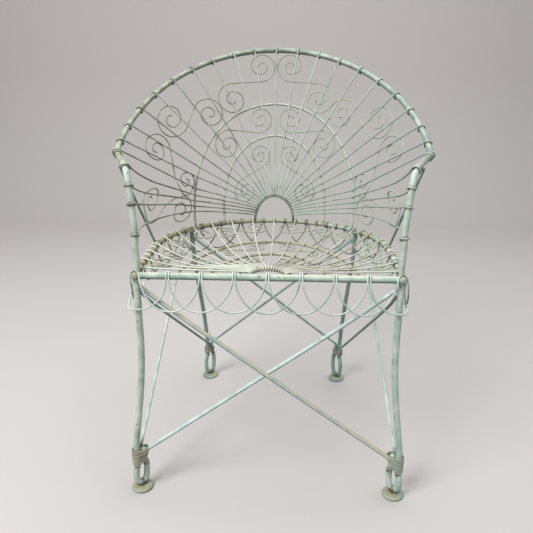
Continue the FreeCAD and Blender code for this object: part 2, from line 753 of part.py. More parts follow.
def binding(leg, side):
    """Wire wound round the leg and its turned-back end, as one unbroken tube with straight ends."""
    down, back, across = eye_points(leg, side)
    low, turns = leg["binding"]
    stand = even_circle(leg["radius"], ROD_SIDES) + BIND_FLAT + 2 * GAP
    square = UP.cross(across)
    circuit = 2 * math.pi * stand + 2 * (back - down).Length
    climb = BIND_PITCH / circuit
    quarter = stand * math.pi / 2
    straight = (back - down).Length
    round_trip = (
        (down, square, across * -1, 0),
        (down, across * -1, square * -1, quarter),
        (down, square * -1, across, 2 * quarter),
        (back, square * -1, across, 2 * quarter + straight),
        (back, across, square, 3 * quarter + straight),
        (back, square, across * -1, 4 * quarter + straight),
    )
    stations = []
    for turn in range(turns):
        for post, out, heading, along in round_trip:
            z = low + climb * (turn * circuit + along)
            point = V(post.x, post.y, z) + out * stand
            stations.append((point, unit(heading + UP * climb)))
    lead = 2 * BIND_R
    p, t = stations[0]
    stations.insert(0, (p - t * lead, t))
    p, t = stations[-1]
    stations.append((p + t * lead, t))
    edges = chain(stations)
    start, along = stations[0]
    sideways = unit(along.cross(UP))
    upright = along.cross(sideways)
    ring = ring_of(start, unit(sideways + upright), unit(upright - sideways), BIND_R, BIND_SIDES)
    path = Part.Wire(edges)
    return path.makePipeShell([Part.makePolygon(ring + ring[:1])], True, False), turn_gap(path, circuit)


def turn_gap(path, circuit):
    """Least air between turns of a winding, from points along its centre line."""
    count = int(path.Length / 2.5)
    points = path.discretize(Number=count)
    step = path.Length / (count - 1)
    skip = int(0.5 * circuit / step)
    pairs = ((p, q) for i, p in enumerate(points) for q in points[i + skip:])
    return min((p - q).Length for p, q in pairs) - 2 * BIND_FLAT


# Braces and stays

def front_brace(side, legs):
    """Diagonal between the front legs: from the rail corner down to the opposite ankle, one before the other."""
    depth = BRACE_SET_BACK + side * (even_circle(FRONT_BRACE_R, ROD_SIDES) + GAP / 2)
    top = V(side * (RIM_BEND - FRONT_LEG_R), FRONT + depth, SEAT_H - FRONT_BRACE_DROP)
    opposite = eye_points(LEGS["front"], -side)[1]
    low = V(opposite.x, FRONT + depth, FRONT_BRACE_H)
    return bar(top, low, FRONT_BRACE_R).cut(legs["front", side]).cut(legs["front", -side])


def side_brace(side, legs, rim):
    """Diagonal from the front ankle to the rim beside the rear leg's top."""
    low = eye_points(LEGS["front"], side)[1]
    low = V(low.x + side * BRACE_R, low.y, SIDE_BRACE_H)
    rim_place, out = rim_point(side * SIDE_BRACE_S)
    top = rim_place + out * (RIM_R / 2)
    return bar(low, top, BRACE_R).cut(legs["front", side]).cut(rim)


def rear_brace(side, legs):
    """One rod bent against the rear ankle: up to the front corner, and across the back to the other rear leg.

    The right one crosses in front of the left one, so both shift along the bend and at the far end.
    """
    thick = even_circle(BRACE_R, ROD_SIDES)
    lap = side * (thick + GAP / 2)
    front_top = V(side * (RIM_BEND - FRONT_LEG_R - 1.3 * BRACE_R), FRONT, SEAT_H - REAR_BRACE_DROPS[0])
    far_top = V(-side * REAR_TOP.x, REAR_TOP.y - lap, SEAT_H - REAR_BRACE_DROPS[1])
    bend = LEGS["rear"]["stations"][-2][0]
    ankle = V(side * bend.x, bend.y, ELBOW_H)
    to_front, to_far = unit(front_top - ankle), unit(far_top - ankle)
    inside, along = unit(to_front + to_far), unit(to_far - to_front)
    level = unit(UP.cross(along)) * side
    touch = ankle + level * (even_circle(REAR_LEG_R, ROD_SIDES) + thick + GAP) - along * (lap / along.y)
    half = math.acos(to_front.dot(to_far)) / 2
    corner = touch - inside * (ELBOW / math.sin(half) - ELBOW)
    solid = rod(elbow_edges(front_top, corner, far_top, ELBOW), BRACE_R)
    return solid.cut(legs["front", side]).cut(legs["rear", -side])


def arm_stay(side, rim):
    """Stay from the rim's outer side up to the arm, with its upper end along the arm's outer underside."""
    stand = even_circle(HOOP_R, ROD_SIDES) + even_circle(STAY_R, ROD_SIDES) + GAP
    foot, out = rim_point(STAY_FOOT)
    points = [foot + out * (RIM_R - STAY_R / 2)]
    for length in STAY_LAP:
        place, along = hoop_at(length)
        below = unit(out * 0.8 - along * along.dot(out * 0.8 - UP) - UP)
        points.append(place + below * stand)
    a, corner, b = mirror(points, side)
    return rod(elbow_edges(a, corner, b, STAY_BEND), STAY_R).cut(rim)


# Assembly

def build():
    """All pieces by node name."""
    nodes = {}
    rim = seat_rim()
    nodes["seat_rim"] = rim
    hoop = back_hoop()
    nodes["back_hoop"] = hoop.cut(rim)
    rail = bar(corner_point(-1), corner_point(1), RAIL_R).cut(rim)
    nodes["front_rail"] = rail
    sides = {"left": -1, "right": 1}
    legs = {(end, side): leg_rod(LEGS[end], side, rim, rail) for end in LEGS for side in (-1, 1)}
    bindings, gaps = [], []
    for name, side in sides.items():
        for end, leg in LEGS.items():
            solid = legs[end, side]
            nodes[f"{end}_leg_{name}"] = solid
            nodes[f"{end}_foot_{name}"] = foot(leg, side, solid)
            wound, gap = binding(leg, side)
            bindings.append(wound)
            gaps.append(gap)
        nodes[f"front_brace_{name}"] = front_brace(side, legs)
        nodes[f"side_brace_{name}"] = side_brace(side, legs, rim)
        nodes[f"rear_brace_{name}"] = rear_brace(side, legs)
        nodes[f"arm_stay_{name}"] = arm_stay(side, rim)
        fan = [back_fan_wire(k, side) for k in range(1, len(FAN_STEPS) + 1)]
        nodes[f"back_fan_wires_{name}"] = fan[:CROWN_WIRES]
        nodes[f"back_arm_wires_{name}"] = fan[CROWN_WIRES:]
        nodes[f"seat_fan_wires_{name}"] = [seat_fan_wire(k, side) for k in range(1, SEAT_WIRES + 1)]
        nodes[f"back_border_scrolls_{name}"] = [back_scroll(c, side, BORDER_N) for c in BACK_BORDER]
        nodes[f"seat_border_scrolls_{name}"] = [seat_scroll(c, side) for c in SEAT_BORDER]
    nodes["ankle_bindings"] = bindings
    nodes["back_fan_wire_middle"] = back_fan_wire(0, 1)
    nodes["seat_fan_wire_middle"] = seat_fan_wire(0, 1)
    nodes["back_middle_scrolls"] = [back_scroll(c, side) for c in BACK_MIDDLE for side in (-1, 1)]
    nodes["back_inner_scrolls"] = [back_scroll(c, side) for c in BACK_INNER for side in (-1, 1)]
    nodes["seat_middle_scrolls"] = [seat_scroll(c, side) for c in SEAT_MIDDLE for side in (-1, 1)]
    nodes["seat_inner_scrolls"] = [seat_scroll(c, side) for c in SEAT_INNER for side in (-1, 1)]
    for name in BACK_ARCHES:
        nodes[f"back_{name}_arch"] = back_arch(name).cut(rim)
        nodes[f"seat_{name}_arch"] = seat_arch(name).cut(rail)
    nodes["back_fan_ring"] = back_ring().cut(rim)
    nodes["seat_fan_ring"] = seat_ring().cut(rail)
    for name, loops in aprons().items():
        nodes[f"apron_{name}"] = loops
    print("least gap between binding turns, mm:", round(min(gaps), 2))
    return nodes


def main():
    os.makedirs("parts", exist_ok=True)
    for name, shape in build().items():
        if isinstance(shape, list):
            shape = Part.makeCompound(shape)
        shape.exportStep(f"parts/{name}.step")


main()
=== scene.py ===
# %% [markdown]
# # A wirework garden armchair
# This old chair is all rod and wire: heavy rods make the frame, thin wires fill it, and every joint is a wrap or
# a binding under many coats of pale green paint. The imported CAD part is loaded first: a fixed frame in metres, in
# which each piece below stands where the solid that it replaces stands.

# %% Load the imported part
import math
import bpy
import numpy as np
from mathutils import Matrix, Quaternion, Vector


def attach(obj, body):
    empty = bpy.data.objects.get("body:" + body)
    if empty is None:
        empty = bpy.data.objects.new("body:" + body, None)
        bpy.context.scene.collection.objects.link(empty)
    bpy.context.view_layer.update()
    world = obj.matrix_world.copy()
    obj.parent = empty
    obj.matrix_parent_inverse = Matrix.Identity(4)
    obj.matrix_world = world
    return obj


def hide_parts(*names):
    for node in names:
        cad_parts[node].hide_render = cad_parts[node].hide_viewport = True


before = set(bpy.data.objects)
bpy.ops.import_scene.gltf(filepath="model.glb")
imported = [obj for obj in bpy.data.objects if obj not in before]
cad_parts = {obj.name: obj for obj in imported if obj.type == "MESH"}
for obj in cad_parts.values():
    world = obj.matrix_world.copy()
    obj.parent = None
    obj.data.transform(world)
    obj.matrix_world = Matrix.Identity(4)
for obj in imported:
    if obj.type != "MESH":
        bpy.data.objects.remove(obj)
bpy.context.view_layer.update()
chance = np.random.default_rng(7)
print("CAD nodes:", len(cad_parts))

# %% [markdown]
# ## One surface for every rod
# A rod is a circle carried along a path. The path could be a curve object with a bevel, but worked out as arrays
# it can also swell under paint and carry values for the materials. `tube` needs one direction that never points
# along the path; the part of it that is square to the path turns the circle.

# %% A rod along a path
MM = 0.001
RIGHT, REAR, UP = np.eye(3)
LEVEL = np.array([1.0, 1.0, 0.0])  # times this, a direction loses its rise


def unit(v):
    """Each vector divided by its length."""
    return v / np.linalg.norm(v, axis=-1, keepdims=True)


def lattice(rows, sides):
    """Faces of rings joined in order: four-cornered ones between neighbours, and one that closes each end."""
    i, j = np.meshgrid(np.arange(rows - 1), np.arange(sides), indexing="ij")
    k = (j + 1) % sides
    quads = np.stack([i * sides + j, i * sides + k, (i + 1) * sides + k, (i + 1) * sides + j], axis=-1)
    ends = np.stack([np.arange(sides)[::-1], np.arange((rows - 1) * sides, rows * sides)])
    return quads.reshape(-1, 4), ends


def rings(centre, across, third, radius, grime, tone, sides):
    """Shape from circles, centre + r (cos a across + sin a third), each joined to the next."""
    a = (np.arange(sides) * 2 * np.pi / sides)[:, None]
    circle = across[..., None, :] * np.cos(a) + third[..., None, :] * np.sin(a)
    verts = (centre[:, None] + circle * radius[:, None, None]).reshape(-1, 3)
    grime, tone = (np.repeat(np.broadcast_to(value, len(centre)), sides) for value in (grime, tone))
    return {"verts": verts, "faces": lattice(len(centre), sides), "grime": grime, "tone": tone}


def tube(path, aside, radius, grime, tone, sides):
    """Circles along the path: point + r (cos a N + sin a B).

    N is the part of `aside` square to the path and B is square to both. At each end the circle shrinks in steps
    to a dome, r cos b at r sin b beyond the end.
    """
    count = len(path)
    along = unit(np.gradient(path, axis=0))
    radius, grime, tone = (np.broadcast_to(np.asarray(value, float), count) for value in (radius, grime, tone))
    aside = np.broadcast_to(aside, (count, 3))
    dome = np.radians([72.0, 45.0, 20.0])
    beyond = np.sin(dome)[:, None]
    centre = np.concatenate([path[0] - along[0] * radius[0] * beyond, path,
                             path[-1] + along[-1] * radius[-1] * beyond[::-1]])
    reach = np.concatenate([radius[0] * np.cos(dome), radius, radius[-1] * np.cos(dome[::-1])])
    keep = np.concatenate([[0, 0, 0], np.arange(count), [count - 1] * 3])
    along, aside = along[keep], aside[keep]
    across = unit(aside - along * np.sum(aside * along, axis=1, keepdims=True))
    return rings(centre, across, np.cross(along, across), reach, grime[keep], tone[keep], sides)


def lengths(path):
    """Length along the path at each of its points."""
    return np.concatenate([[0.0], np.cumsum(np.linalg.norm(np.diff(path, axis=0), axis=1))])


def ease(points, step, soft):
    """Path sampled every `step` mm and rounded: each point becomes the bell-weighted mean of its neighbours.

    The first three columns are places; any further columns, such as directions, go along with them.
    """
    run = lengths(points[:, :3])
    even = np.linspace(0.0, run[-1], max(int(run[-1] / step), 6) + 1)
    path = np.stack([np.interp(even, run, column) for column in points.T], axis=1)
    reach = min(int(3 * soft / step) + 1, len(path) - 2)
    bell = np.exp(-0.5 * (np.arange(-reach, reach + 1) * step / soft) ** 2)
    head = 2 * path[0] - path[reach:0:-1]
    tail = 2 * path[-1] - path[-2:-reach - 2:-1]
    padded = np.concatenate([head, path, tail])
    return np.stack([np.convolve(c, bell / bell.sum(), mode="valid") for c in padded.T], axis=1)


def near(length, places, reach):
    """1 at the given lengths and falling off over `reach` mm: the largest of the bell curves."""
    away = (length[:, None] - np.asarray(places, float)[None, :]) / reach
    return np.exp(-away ** 2).max(axis=1)


def wire(points, aside, radius, ends, step, soft, sides=8, tone=None):
    """Thin wire through the points, with grime that fades out over `ends` mm from its two ends.

    Without a tone of its own it draws one by chance, as each hand-painted wire has.
    """
    path = ease(np.hstack([points, np.broadcast_to(aside, points.shape)]), step, soft)
    along = lengths(path[:, :3])
    dirt = near(along, [0.0, along[-1]], ends)
    tone = chance.uniform() if tone is None else tone
    return tube(path[:, :3], path[:, 3:], radius, dirt, tone, sides)


# %% [markdown]
# ## The main sizes
# All sizes are in millimetres, as a smith would note them, and become metres in the meshes. The photograph's rail is
# a little shorter than the CAD's, so one smooth pull moves the seat's front corners in. Every wire goes with the rod
# that carries it, because the pull works on finished points.

# %% Main sizes
SEAT_H, RIM_BEND, SIDE_RUN, FRONT = 437.0, 235.0, 190.0, -249.64
MID_Y = FRONT + SIDE_RUN  # where the rim's straight sides end
RIM_R, RAIL_R, HOOP_R, ARCH_R, WIRE_R, SCROLL_R = 5.0, 6.0, 5.7, 2.75, 1.6, 1.4
CORNER_PULL, PULL_ABOVE, PULL_BELOW = 9.0, 45.0, 70.0
SIDES = (("left", -1), ("right", 1))


def drawn_in(verts):
    """Points with the front corners pulled in: x times 1 - (pull / rim's half width) times a share.

    The share is 1 at a corner. It fades as a bell upwards and downwards, and as a parabola along the sides.
    """
    reach = np.where(verts[:, 2] > SEAT_H, PULL_ABOVE, PULL_BELOW)
    level = np.exp(-((verts[:, 2] - SEAT_H) / reach) ** 2)
    share = level * np.clip((MID_Y - verts[:, 1]) / SIDE_RUN, 0.0, 1.0) ** 2
    pulled = verts.copy()
    pulled[:, 0] *= 1 - CORNER_PULL / RIM_BEND * share
    return pulled


# %% [markdown]
# ## From shapes to pieces
# Each piece joins its wires into one mesh, stands for its CAD node and rides on the chair's one body. Three values
# per vertex go with it: grime, the wire's own tone, and how far the surface faces upwards. Dust and sun work on the
# top faces, and the paint darkens the downward ones as painted shade.

# %% A piece from shapes
made = []


def placed(name, data):
    """Object with the given data, in the scene."""
    thing = bpy.data.objects.new(name, data)
    bpy.context.collection.objects.link(thing)
    return thing


def surface(name, verts, faces, finish):
    """Smooth mesh object with one material."""
    mesh = bpy.data.meshes.new(name)
    mesh.from_pydata(verts.tolist(), [], faces)
    mesh.shade_smooth()
    mesh.materials.append(finish)
    return placed(name, mesh)


def piece(node, suffix, shapes, finish):
    """Mesh object of the joined shapes, in metres, that replaces the CAD node."""
    offsets = np.concatenate([[0], np.cumsum([len(s["verts"]) for s in shapes])])
    verts = drawn_in(np.concatenate([s["verts"] for s in shapes])) * MM
    faces = [face for s, o in zip(shapes, offsets) for rows in s["faces"] for face in (rows + o).tolist()]
    thing = surface(f"{node}_{suffix}", verts, faces, finish)
    normals = np.empty(len(verts) * 3, np.float32)
    thing.data.vertex_normals.foreach_get("vector", normals)
    values = {key: np.concatenate([s[key] for s in shapes]) for key in ("grime", "tone")}
    values["upward"] = normals.reshape(-1, 3)[:, 2]
    for name, value in values.items():
        layer = thing.data.attributes.new(name, "FLOAT", "POINT")
        layer.data.foreach_set("value", value.astype(np.float32))
    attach(thing, "root")
    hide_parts(node)
    made.append(thing)


# %% [markdown]
# ## The paint
# The finish is oil paint on iron wire, brushed on many times and left outdoors for decades. It gives the eye a pale
# chalky green that is never even: warmer on the chair's left and cooler on its right, cream and tan where sun and
# dust work on upward faces, brown grime beside the wraps, and small chips down to rusty iron. The downward faces
# carry painted shade, a dark olive that stands in for the shadow under each rod. One function mixes these layers,
# and each kind of rod gets its own colours.

# %% Old brushed paint
def colour(code):
    """sRGB hex to linear RGBA."""
    parts = np.array([int(code[i:i + 2], 16) for i in (1, 3, 5)]) / 255.0
    linear = np.where(parts <= 0.04045, parts / 12.92, ((parts + 0.055) / 1.055) ** 2.4)
    return (*linear, 1.0)


def add(tree, kind, settings=(), links=()):
    """Shader node of a kind; settings fill its properties or inputs, links join sockets into its inputs."""
    node = tree.nodes.new(kind)
    for key, value in dict(settings).items():
        if isinstance(key, str) and hasattr(node, key):
            setattr(node, key, value)
        else:
            node.inputs[key].default_value = value
    for key, socket in dict(links).items():
        tree.links.new(socket, node.inputs[key])
    return node


def ranged(tree, value, low, high, top=1.0, bottom=0.0):
    """Value spread so that low gives bottom and high gives top, and held there beyond."""
    limits = {"From Min": low, "From Max": high, "To Min": bottom, "To Max": top}
    return add(tree, "ShaderNodeMapRange", limits, {"Value": value}).outputs[0]


def raised(tree, value, times, plus):
    """Value times a number, plus another value."""
    settings = {"operation": "MULTIPLY_ADD", 1: times}
    return add(tree, "ShaderNodeMath", settings, {0: value, 2: plus}).outputs[0]


def covered(tree, coat, code, share):
    """Coat of paint with a colour laid over it, by the share."""
    return add(tree, "ShaderNodeMix", {"data_type": "RGBA", 7: colour(code)}, {0: share, 6: coat}).outputs[2]


# the second colour is painted shade: a dark olive laid on the downward faces for the shadow under each rod
GRIME, PAINTED_UNDERSIDE_SHADE, RUST = "#4a3826", "#2e3029", "#6b5136"
NOISES = ((0.025, 3.0), (0.006, 2.0), (0.0015, 2.0))  # patches, streaks and grains: size in metres, and detail

# %% [markdown]
# `paint` chains these helpers from the first coat outwards. The shares come from noise in the object's own space and
# from the three values that each piece carries.

# %% One paint from its layers
def paint(name, left, right, pale, patina, patina_from, grime_share, change=1.8, rough=0.5):
    """Brushed oil paint: left and right shades and a pale one in patches, patina on top faces, grime, chips, and
    painted shade on the downward faces.
    """
    material = bpy.data.materials.new(name)
    material.use_nodes = True
    tree = material.node_tree
    place = add(tree, "ShaderNodeTexCoord").outputs["Object"]
    across = add(tree, "ShaderNodeSeparateXYZ", links={0: place}).outputs["X"]
    tone, upward, dirt = (add(tree, "ShaderNodeAttribute", {"attribute_name": value}).outputs["Fac"]
                          for value in ("tone", "upward", "grime"))
    patches, streaks, grains = (
        add(tree, "ShaderNodeTexNoise", {"Scale": 1 / size, "Detail": detail}, {"Vector": place}).outputs["Fac"]
        for size, detail in NOISES)

    swing = ranged(tree, raised(tree, across, change, patches), 0.15, 0.85)
    shades = {"data_type": "RGBA", 6: colour(left), 7: colour(right)}
    first = add(tree, "ShaderNodeMix", shades, {0: swing}).outputs[2]
    faded = covered(tree, first, pale, ranged(tree, raised(tree, tone, 0.35, patches), 0.45, 0.85))
    sunned = ranged(tree, raised(tree, patches, 1.1, upward), patina_from, patina_from + 0.5)
    worn = covered(tree, faded, patina, sunned)
    soil = add(tree, "ShaderNodeMath", {"operation": "MULTIPLY"}, {0: dirt, 1: streaks}).outputs[0]
    soiled = covered(tree, worn, GRIME, ranged(tree, soil, 0.22, 0.62, grime_share))
    # painted shade: downward faces are darkened towards a dark olive, as the shadow under a rod would darken them
    shaded = covered(tree, soiled, PAINTED_UNDERSIDE_SHADE, ranged(tree, upward, 0.2, -0.75, 0.88))
    chipped = covered(tree, shaded, RUST, ranged(tree, streaks, 0.68, 0.72, 0.7))

    shader = tree.nodes["Principled BSDF"]
    shader.inputs["IOR"].default_value = 1.48
    bump = add(tree, "ShaderNodeBump", {"Strength": 0.35, "Distance": 0.0006}, {"Height": grains}).outputs[0]
    gloss = ranged(tree, streaks, 0.0, 1.0, rough + 0.18, rough - 0.12)
    for socket, value in (("Base Color", chipped), ("Roughness", gloss), ("Normal", bump)):
        tree.links.new(value, shader.inputs[socket])
    return material


# back: dull sage rods with a dark ring of grime at every wrap, mint wires that turn olive low on the left
hoop_paint = paint("sage_oil_paint_on_iron", "#868b72", "#84998f", "#c0cec0", "#b3a27b", 1.25, 0.95, rough=0.42)
fan_paint = paint("mint_oil_paint_on_wire", "#8b947f", "#9bb2a5", "#bfccbd", "#cfd0ba", 1.15, 0.9)
arm_paint = paint("olive_worn_oil_paint_on_wire", "#64624a", "#99b2a6", "#a9baaa", "#b9b292", 1.2, 0.9)
arch_paint = paint("cream_worn_oil_paint_on_iron", "#8f8868", "#adc0ae", "#bec8b1", "#c8bf9a", 1.25, 0.8, 3.0)
scroll_paint = paint("olive_oil_paint_on_thin_wire", "#82836b", "#a6b9a7", "#adb7a0", "#b8ad89", 1.15, 0.7, 3.0)
collar_paint = paint("grimy_oil_paint_on_the_half_ring", "#5f6150", "#62705f", "#7f8a76", "#9a9272", 1.2, 0.9)
# seat: wires bleached to cream on the left and worn to tan on the right, over a tan frame
seat_paint = paint("sun_bleached_oil_paint_on_wire", "#cdd1bf", "#9a8767", "#d3d4c4", "#dedac6", 1.3, 0.85, 4.5)
rim_paint = paint("tan_worn_oil_paint_on_iron", "#7c6838", "#a8c8bc", "#acaa88", "#b5a47a", 1.3, 1.0, 2.6)
under_paint = paint("tan_oil_paint_under_the_seat", "#8f8059", "#98a391", "#b0a886", "#bda97b", 1.3, 0.9)
rail_paint = paint("cream_worn_mint_oil_paint_on_iron", "#8ba590", "#8dae9f", "#b4c7b6", "#cfcbb3", 1.1, 0.9)
apron_paint = paint("celadon_oil_paint_on_wire", "#a6bcab", "#a5c0b3", "#cddad0", "#e3e2cf", 1.15, 0.85)
skirt_paint = paint("weathered_oil_paint_on_wire", "#7c7d66", "#83a095", "#a3ae9d", "#b3a57f", 1.15, 0.9)
# below the seat: pale celadon in front, teal-grey in the shade behind, tan dust on bindings and feet
leg_paint = paint("sage_green_oil_paint_on_iron", "#9bb09d", "#9ab8ab", "#cfdbce", "#d6cdaa", 1.25, 0.95)
rear_paint = paint("teal_grey_oil_paint_on_iron", "#7a978e", "#7ea19a", "#a5bdb5", "#b3b394", 1.35, 0.9)
brace_paint = paint("pale_teal_oil_paint_on_iron", "#a2bab0", "#a3beb6", "#d0deda", "#d0c8a8", 1.35, 0.9)
tan_paint = paint("tan_worn_mint_oil_paint_on_iron", "#92aca0", "#94afa5", "#b9cbc0", "#cbb98e", 0.85, 0.9)
bind_paint = paint("cream_worn_oil_paint_on_bindings", "#9c9677", "#8fa89e", "#b7b99f", "#cabb92", 1.3, 1.0)
foot_paint = paint("dusty_teal_oil_paint_on_iron", "#7f9b8d", "#80a093", "#a8b8a5", "#a9a27d", 1.25, 0.95)
print("paints:", len(bpy.data.materials))

# %% [markdown]
# ## The seat rim and the barrel
# The rim is a half circle with straight sides. The lower back rises from it and leans out by 12 degrees, so it is a
# part of a cone with flat cheeks, like a barrel. Half ring and arches are drawn flat, as arc length and height, and
# then laid on that surface, as a smith would bend them over a form.

# %% Rim line and back surface
HALF_BEND = RIM_BEND * math.pi / 2
HALF_RIM = HALF_BEND + SIDE_RUN
LEAN = math.radians(12.0)


def rim_line(s):
    """Rim's centre line at arc length s from the back centre, and the level direction outwards."""
    s = np.asarray(s, float)
    turn = np.clip(s / HALF_BEND, -1.0, 1.0) * np.pi / 2
    out = np.stack([np.sin(turn), np.cos(turn), 0.0 * turn], axis=-1)
    ahead = np.maximum(0.0, np.abs(s) - HALF_BEND)
    return np.array([0.0, MID_Y, SEAT_H]) + out * RIM_BEND - ahead[..., None] * REAR, out


def back(s, v, n=0.0):
    """Back surface: from the rim at s, v up the slope and n square to it, outwards."""
    foot, out = rim_line(s)
    level = np.asarray(v * math.sin(LEAN) + n * math.cos(LEAN))
    rise = np.asarray(v * math.cos(LEAN) - n * math.sin(LEAN))
    return foot + out * level[..., None] + UP * rise[..., None]


def back_face(s):
    """Direction square to the back, towards the sitter."""
    return UP * math.sin(LEAN) - rim_line(s)[1] * math.cos(LEAN)


def sided(points, side):
    """Left (-1) or right (1) copy of points or directions."""
    return points * (side, 1.0, 1.0)


print("rim length each side, mm:", round(HALF_RIM, 1))

# %% [markdown]
# ## The back hoop
# One heavy rod is top rail, arms and front posts. Its crown lies on an upright cylinder and in one sloping plane, so
# it is part of an ellipse; from its low ends level arms run forward and inward, turn down and end as bowed posts.
# The corners of that outline are rounded with arcs.

# %% Back hoop
HOOP_BEND, HOOP_MID, HOOP_TOP, HOOP_LOW = 306.0, -47.0, 830.0, 622.0
POST_FOOT = 17.65
CORNERS = np.array([[HOOP_BEND, HOOP_MID, HOOP_LOW], [238.0, -217.0, 616.0], [228.0, -227.0, 515.0],
                    [RIM_BEND, FRONT + POST_FOOT, SEAT_H]])
FAN_STEPS = np.array([52, 51, 54, 57, 59, 60, 59, 58, 49, 34, 169, 33, 32, 52.0])
FAN_PLACES = np.concatenate([[0.0], np.cumsum(FAN_STEPS)])


def rounded(before, corner, after, radius):
    """Arc that rounds a corner: centre + radius (sin a side - cos a middle), between its two straight runs."""
    a, b = unit(before - corner), unit(after - corner)
    half = math.acos(np.dot(a, b)) / 2
    middle, side = unit(a + b), unit(b - a)
    turn = np.linspace(half - math.pi / 2, math.pi / 2 - half, 24)[:, None]
    return corner + middle * radius / math.sin(half) + radius * (np.sin(turn) * side - np.cos(turn) * middle)


def hoop_half():
    """Right half of the hoop from its top: out sin t, back cos t, and height low + rise cos t; then the corners."""
    t = np.radians(np.linspace(0.0, 88.0, 150))
    crown = np.stack([HOOP_BEND * np.sin(t), HOOP_MID + HOOP_BEND * np.cos(t),
                      HOOP_LOW + (HOOP_TOP - HOOP_LOW) * np.cos(t)], axis=1)
    bends = [rounded(a, b, c, radius) for a, b, c, radius in
             zip([crown[-1], *CORNERS], CORNERS, CORNERS[1:], (12.0, 30.0, 150.0))]
    return np.concatenate([crown, *bends, CORNERS[-1:]])


HOOP = hoop_half()
HOOP_RUN = lengths(HOOP)
inward = unit(((0.0, HOOP_MID, 0.0) - HOOP) * LEVEL)
right = np.hstack([HOOP, inward])
left = right[:0:-1] * (-1, 1, 1, -1, 1, 1)
path = ease(np.concatenate([left, right]), 3.0, 3.0)
run = np.abs(lengths(path[:, :3]) - lengths(path[:, :3])[-1] / 2)
swell = HOOP_R + 0.25 * near(run, FAN_PLACES, 4.0)
paler = 0.2 + 0.85 * np.clip((run - 600.0) / 130.0, 0.0, 1.0)  # the posts have lost more of their green
piece("back_hoop", "rod",
      [tube(path[:, :3], path[:, 3:], swell, near(run, FAN_PLACES, 6.5), paler, 16)], hoop_paint)
print("half hoop, mm:", round(HOOP_RUN[-1], 1))

# %% [markdown]
# ## The back fan
# Twenty-nine wires spread from a half ring at the seat to the hoop. Each is hooked round the ring, lies on the barrel
# as far as the outer arch, goes straight or a little bowed from there to the hoop, and is wrapped round it. A wrap
# is an arc in the plane square to the rod, and easing the whole path joins arc and run without a corner.

# %% Fan wires of the back
BACK_RING, SEAT_RING, FAN_SPREAD = (47.0, 62.0), 36.0, math.radians(76.0)
OUTER_ARCH = (205.0, 277.0, 1.65)  # half width, height and power
AIMS = np.radians([0, 6.9, 13.5, 20.5, 27.9, 35.4, 42.8, 49, 55, 60.3, 66.7, 70.5, 73.6, 76.7, 79.7, 90])
REACHED = np.append(FAN_PLACES, HOOP_RUN[-1])
BOWS = np.array([0.0] * 11 + [26, 40, 40, 38, 38])
FIRST_ARM_WIRE, LAST_CROWN_WRAP, TIE_AT = 8, 10, 562.0
ARCH_N = -3.0  # half ring and arches, just in front of the back surface
FAN_N = ARCH_N - ARCH_R - WIRE_R + 0.1  # fan wires touch them, and the front of the hoop


def hook(centre, front, across, reach, start, stop):
    """Arc round a rod: centre + reach (cos a front + sin a across), from one angle in degrees to the other."""
    a = np.radians(np.linspace(start, stop, int(abs(stop - start) / 12) + 2))[:, None]
    return centre + reach * (np.cos(a) * front + np.sin(a) * across)


def strand(hooked, run, share, wrap, flanks, side, ends):
    """Fan wire from hook, run and wrap; the direction for its circles goes from flank to flank by the share."""
    points = np.concatenate([hooked, run, wrap])
    share = np.concatenate([0 * hooked[:, 0], share, 0 * wrap[:, 0] + 1])[:, None]
    aside = unit(flanks[0] * (1 - share) + flanks[1] * share)
    return wire(sided(points, side), sided(aside, side), WIRE_R, ends, 2.0, 1.8)


def hoop_at(length):
    """Place and direction of the hoop at a length from its top."""
    length = np.asarray(length, float)
    before, here, ahead = (np.stack([np.interp(length + d, HOOP_RUN, c) for c in HOOP.T], axis=-1)
                           for d in (-0.5, 0.0, 0.5))
    return here, unit(ahead - before)


def narrowed(a, v):
    """Arc length along the rim from a true length across the back: the cone is wider higher up."""
    return a / (1 + v * math.sin(LEAN) / RIM_BEND)


def arch_reach(angle):
    """Length from the rim's middle up to the outer arch, at an angle from upright, found by halving."""
    low, high = 0.0 * angle, 0.0 * angle + sum(OUTER_ARCH[:2])
    for _ in range(30):
        reach = (low + high) / 2
        v = reach * np.cos(angle)
        s = narrowed(reach * np.sin(angle), v)
        inside = (s / OUTER_ARCH[0]) ** 2 + (v / OUTER_ARCH[1]) ** OUTER_ARCH[2] < 1
        low, high = np.where(inside, reach, low), np.where(inside, high, reach)
    return low


def bowed(start, end, share, bow):
    """Straight line from start to end, moved outwards by bow times 4 share (1 - share)."""
    point = start + (end - start) * share[..., None]
    out = np.stack([point[..., 0], np.maximum(point[..., 1] - MID_Y, 0.0), 0 * share], axis=-1)
    return point + unit(out) * (bow * 4 * share * (1 - share))[..., None]


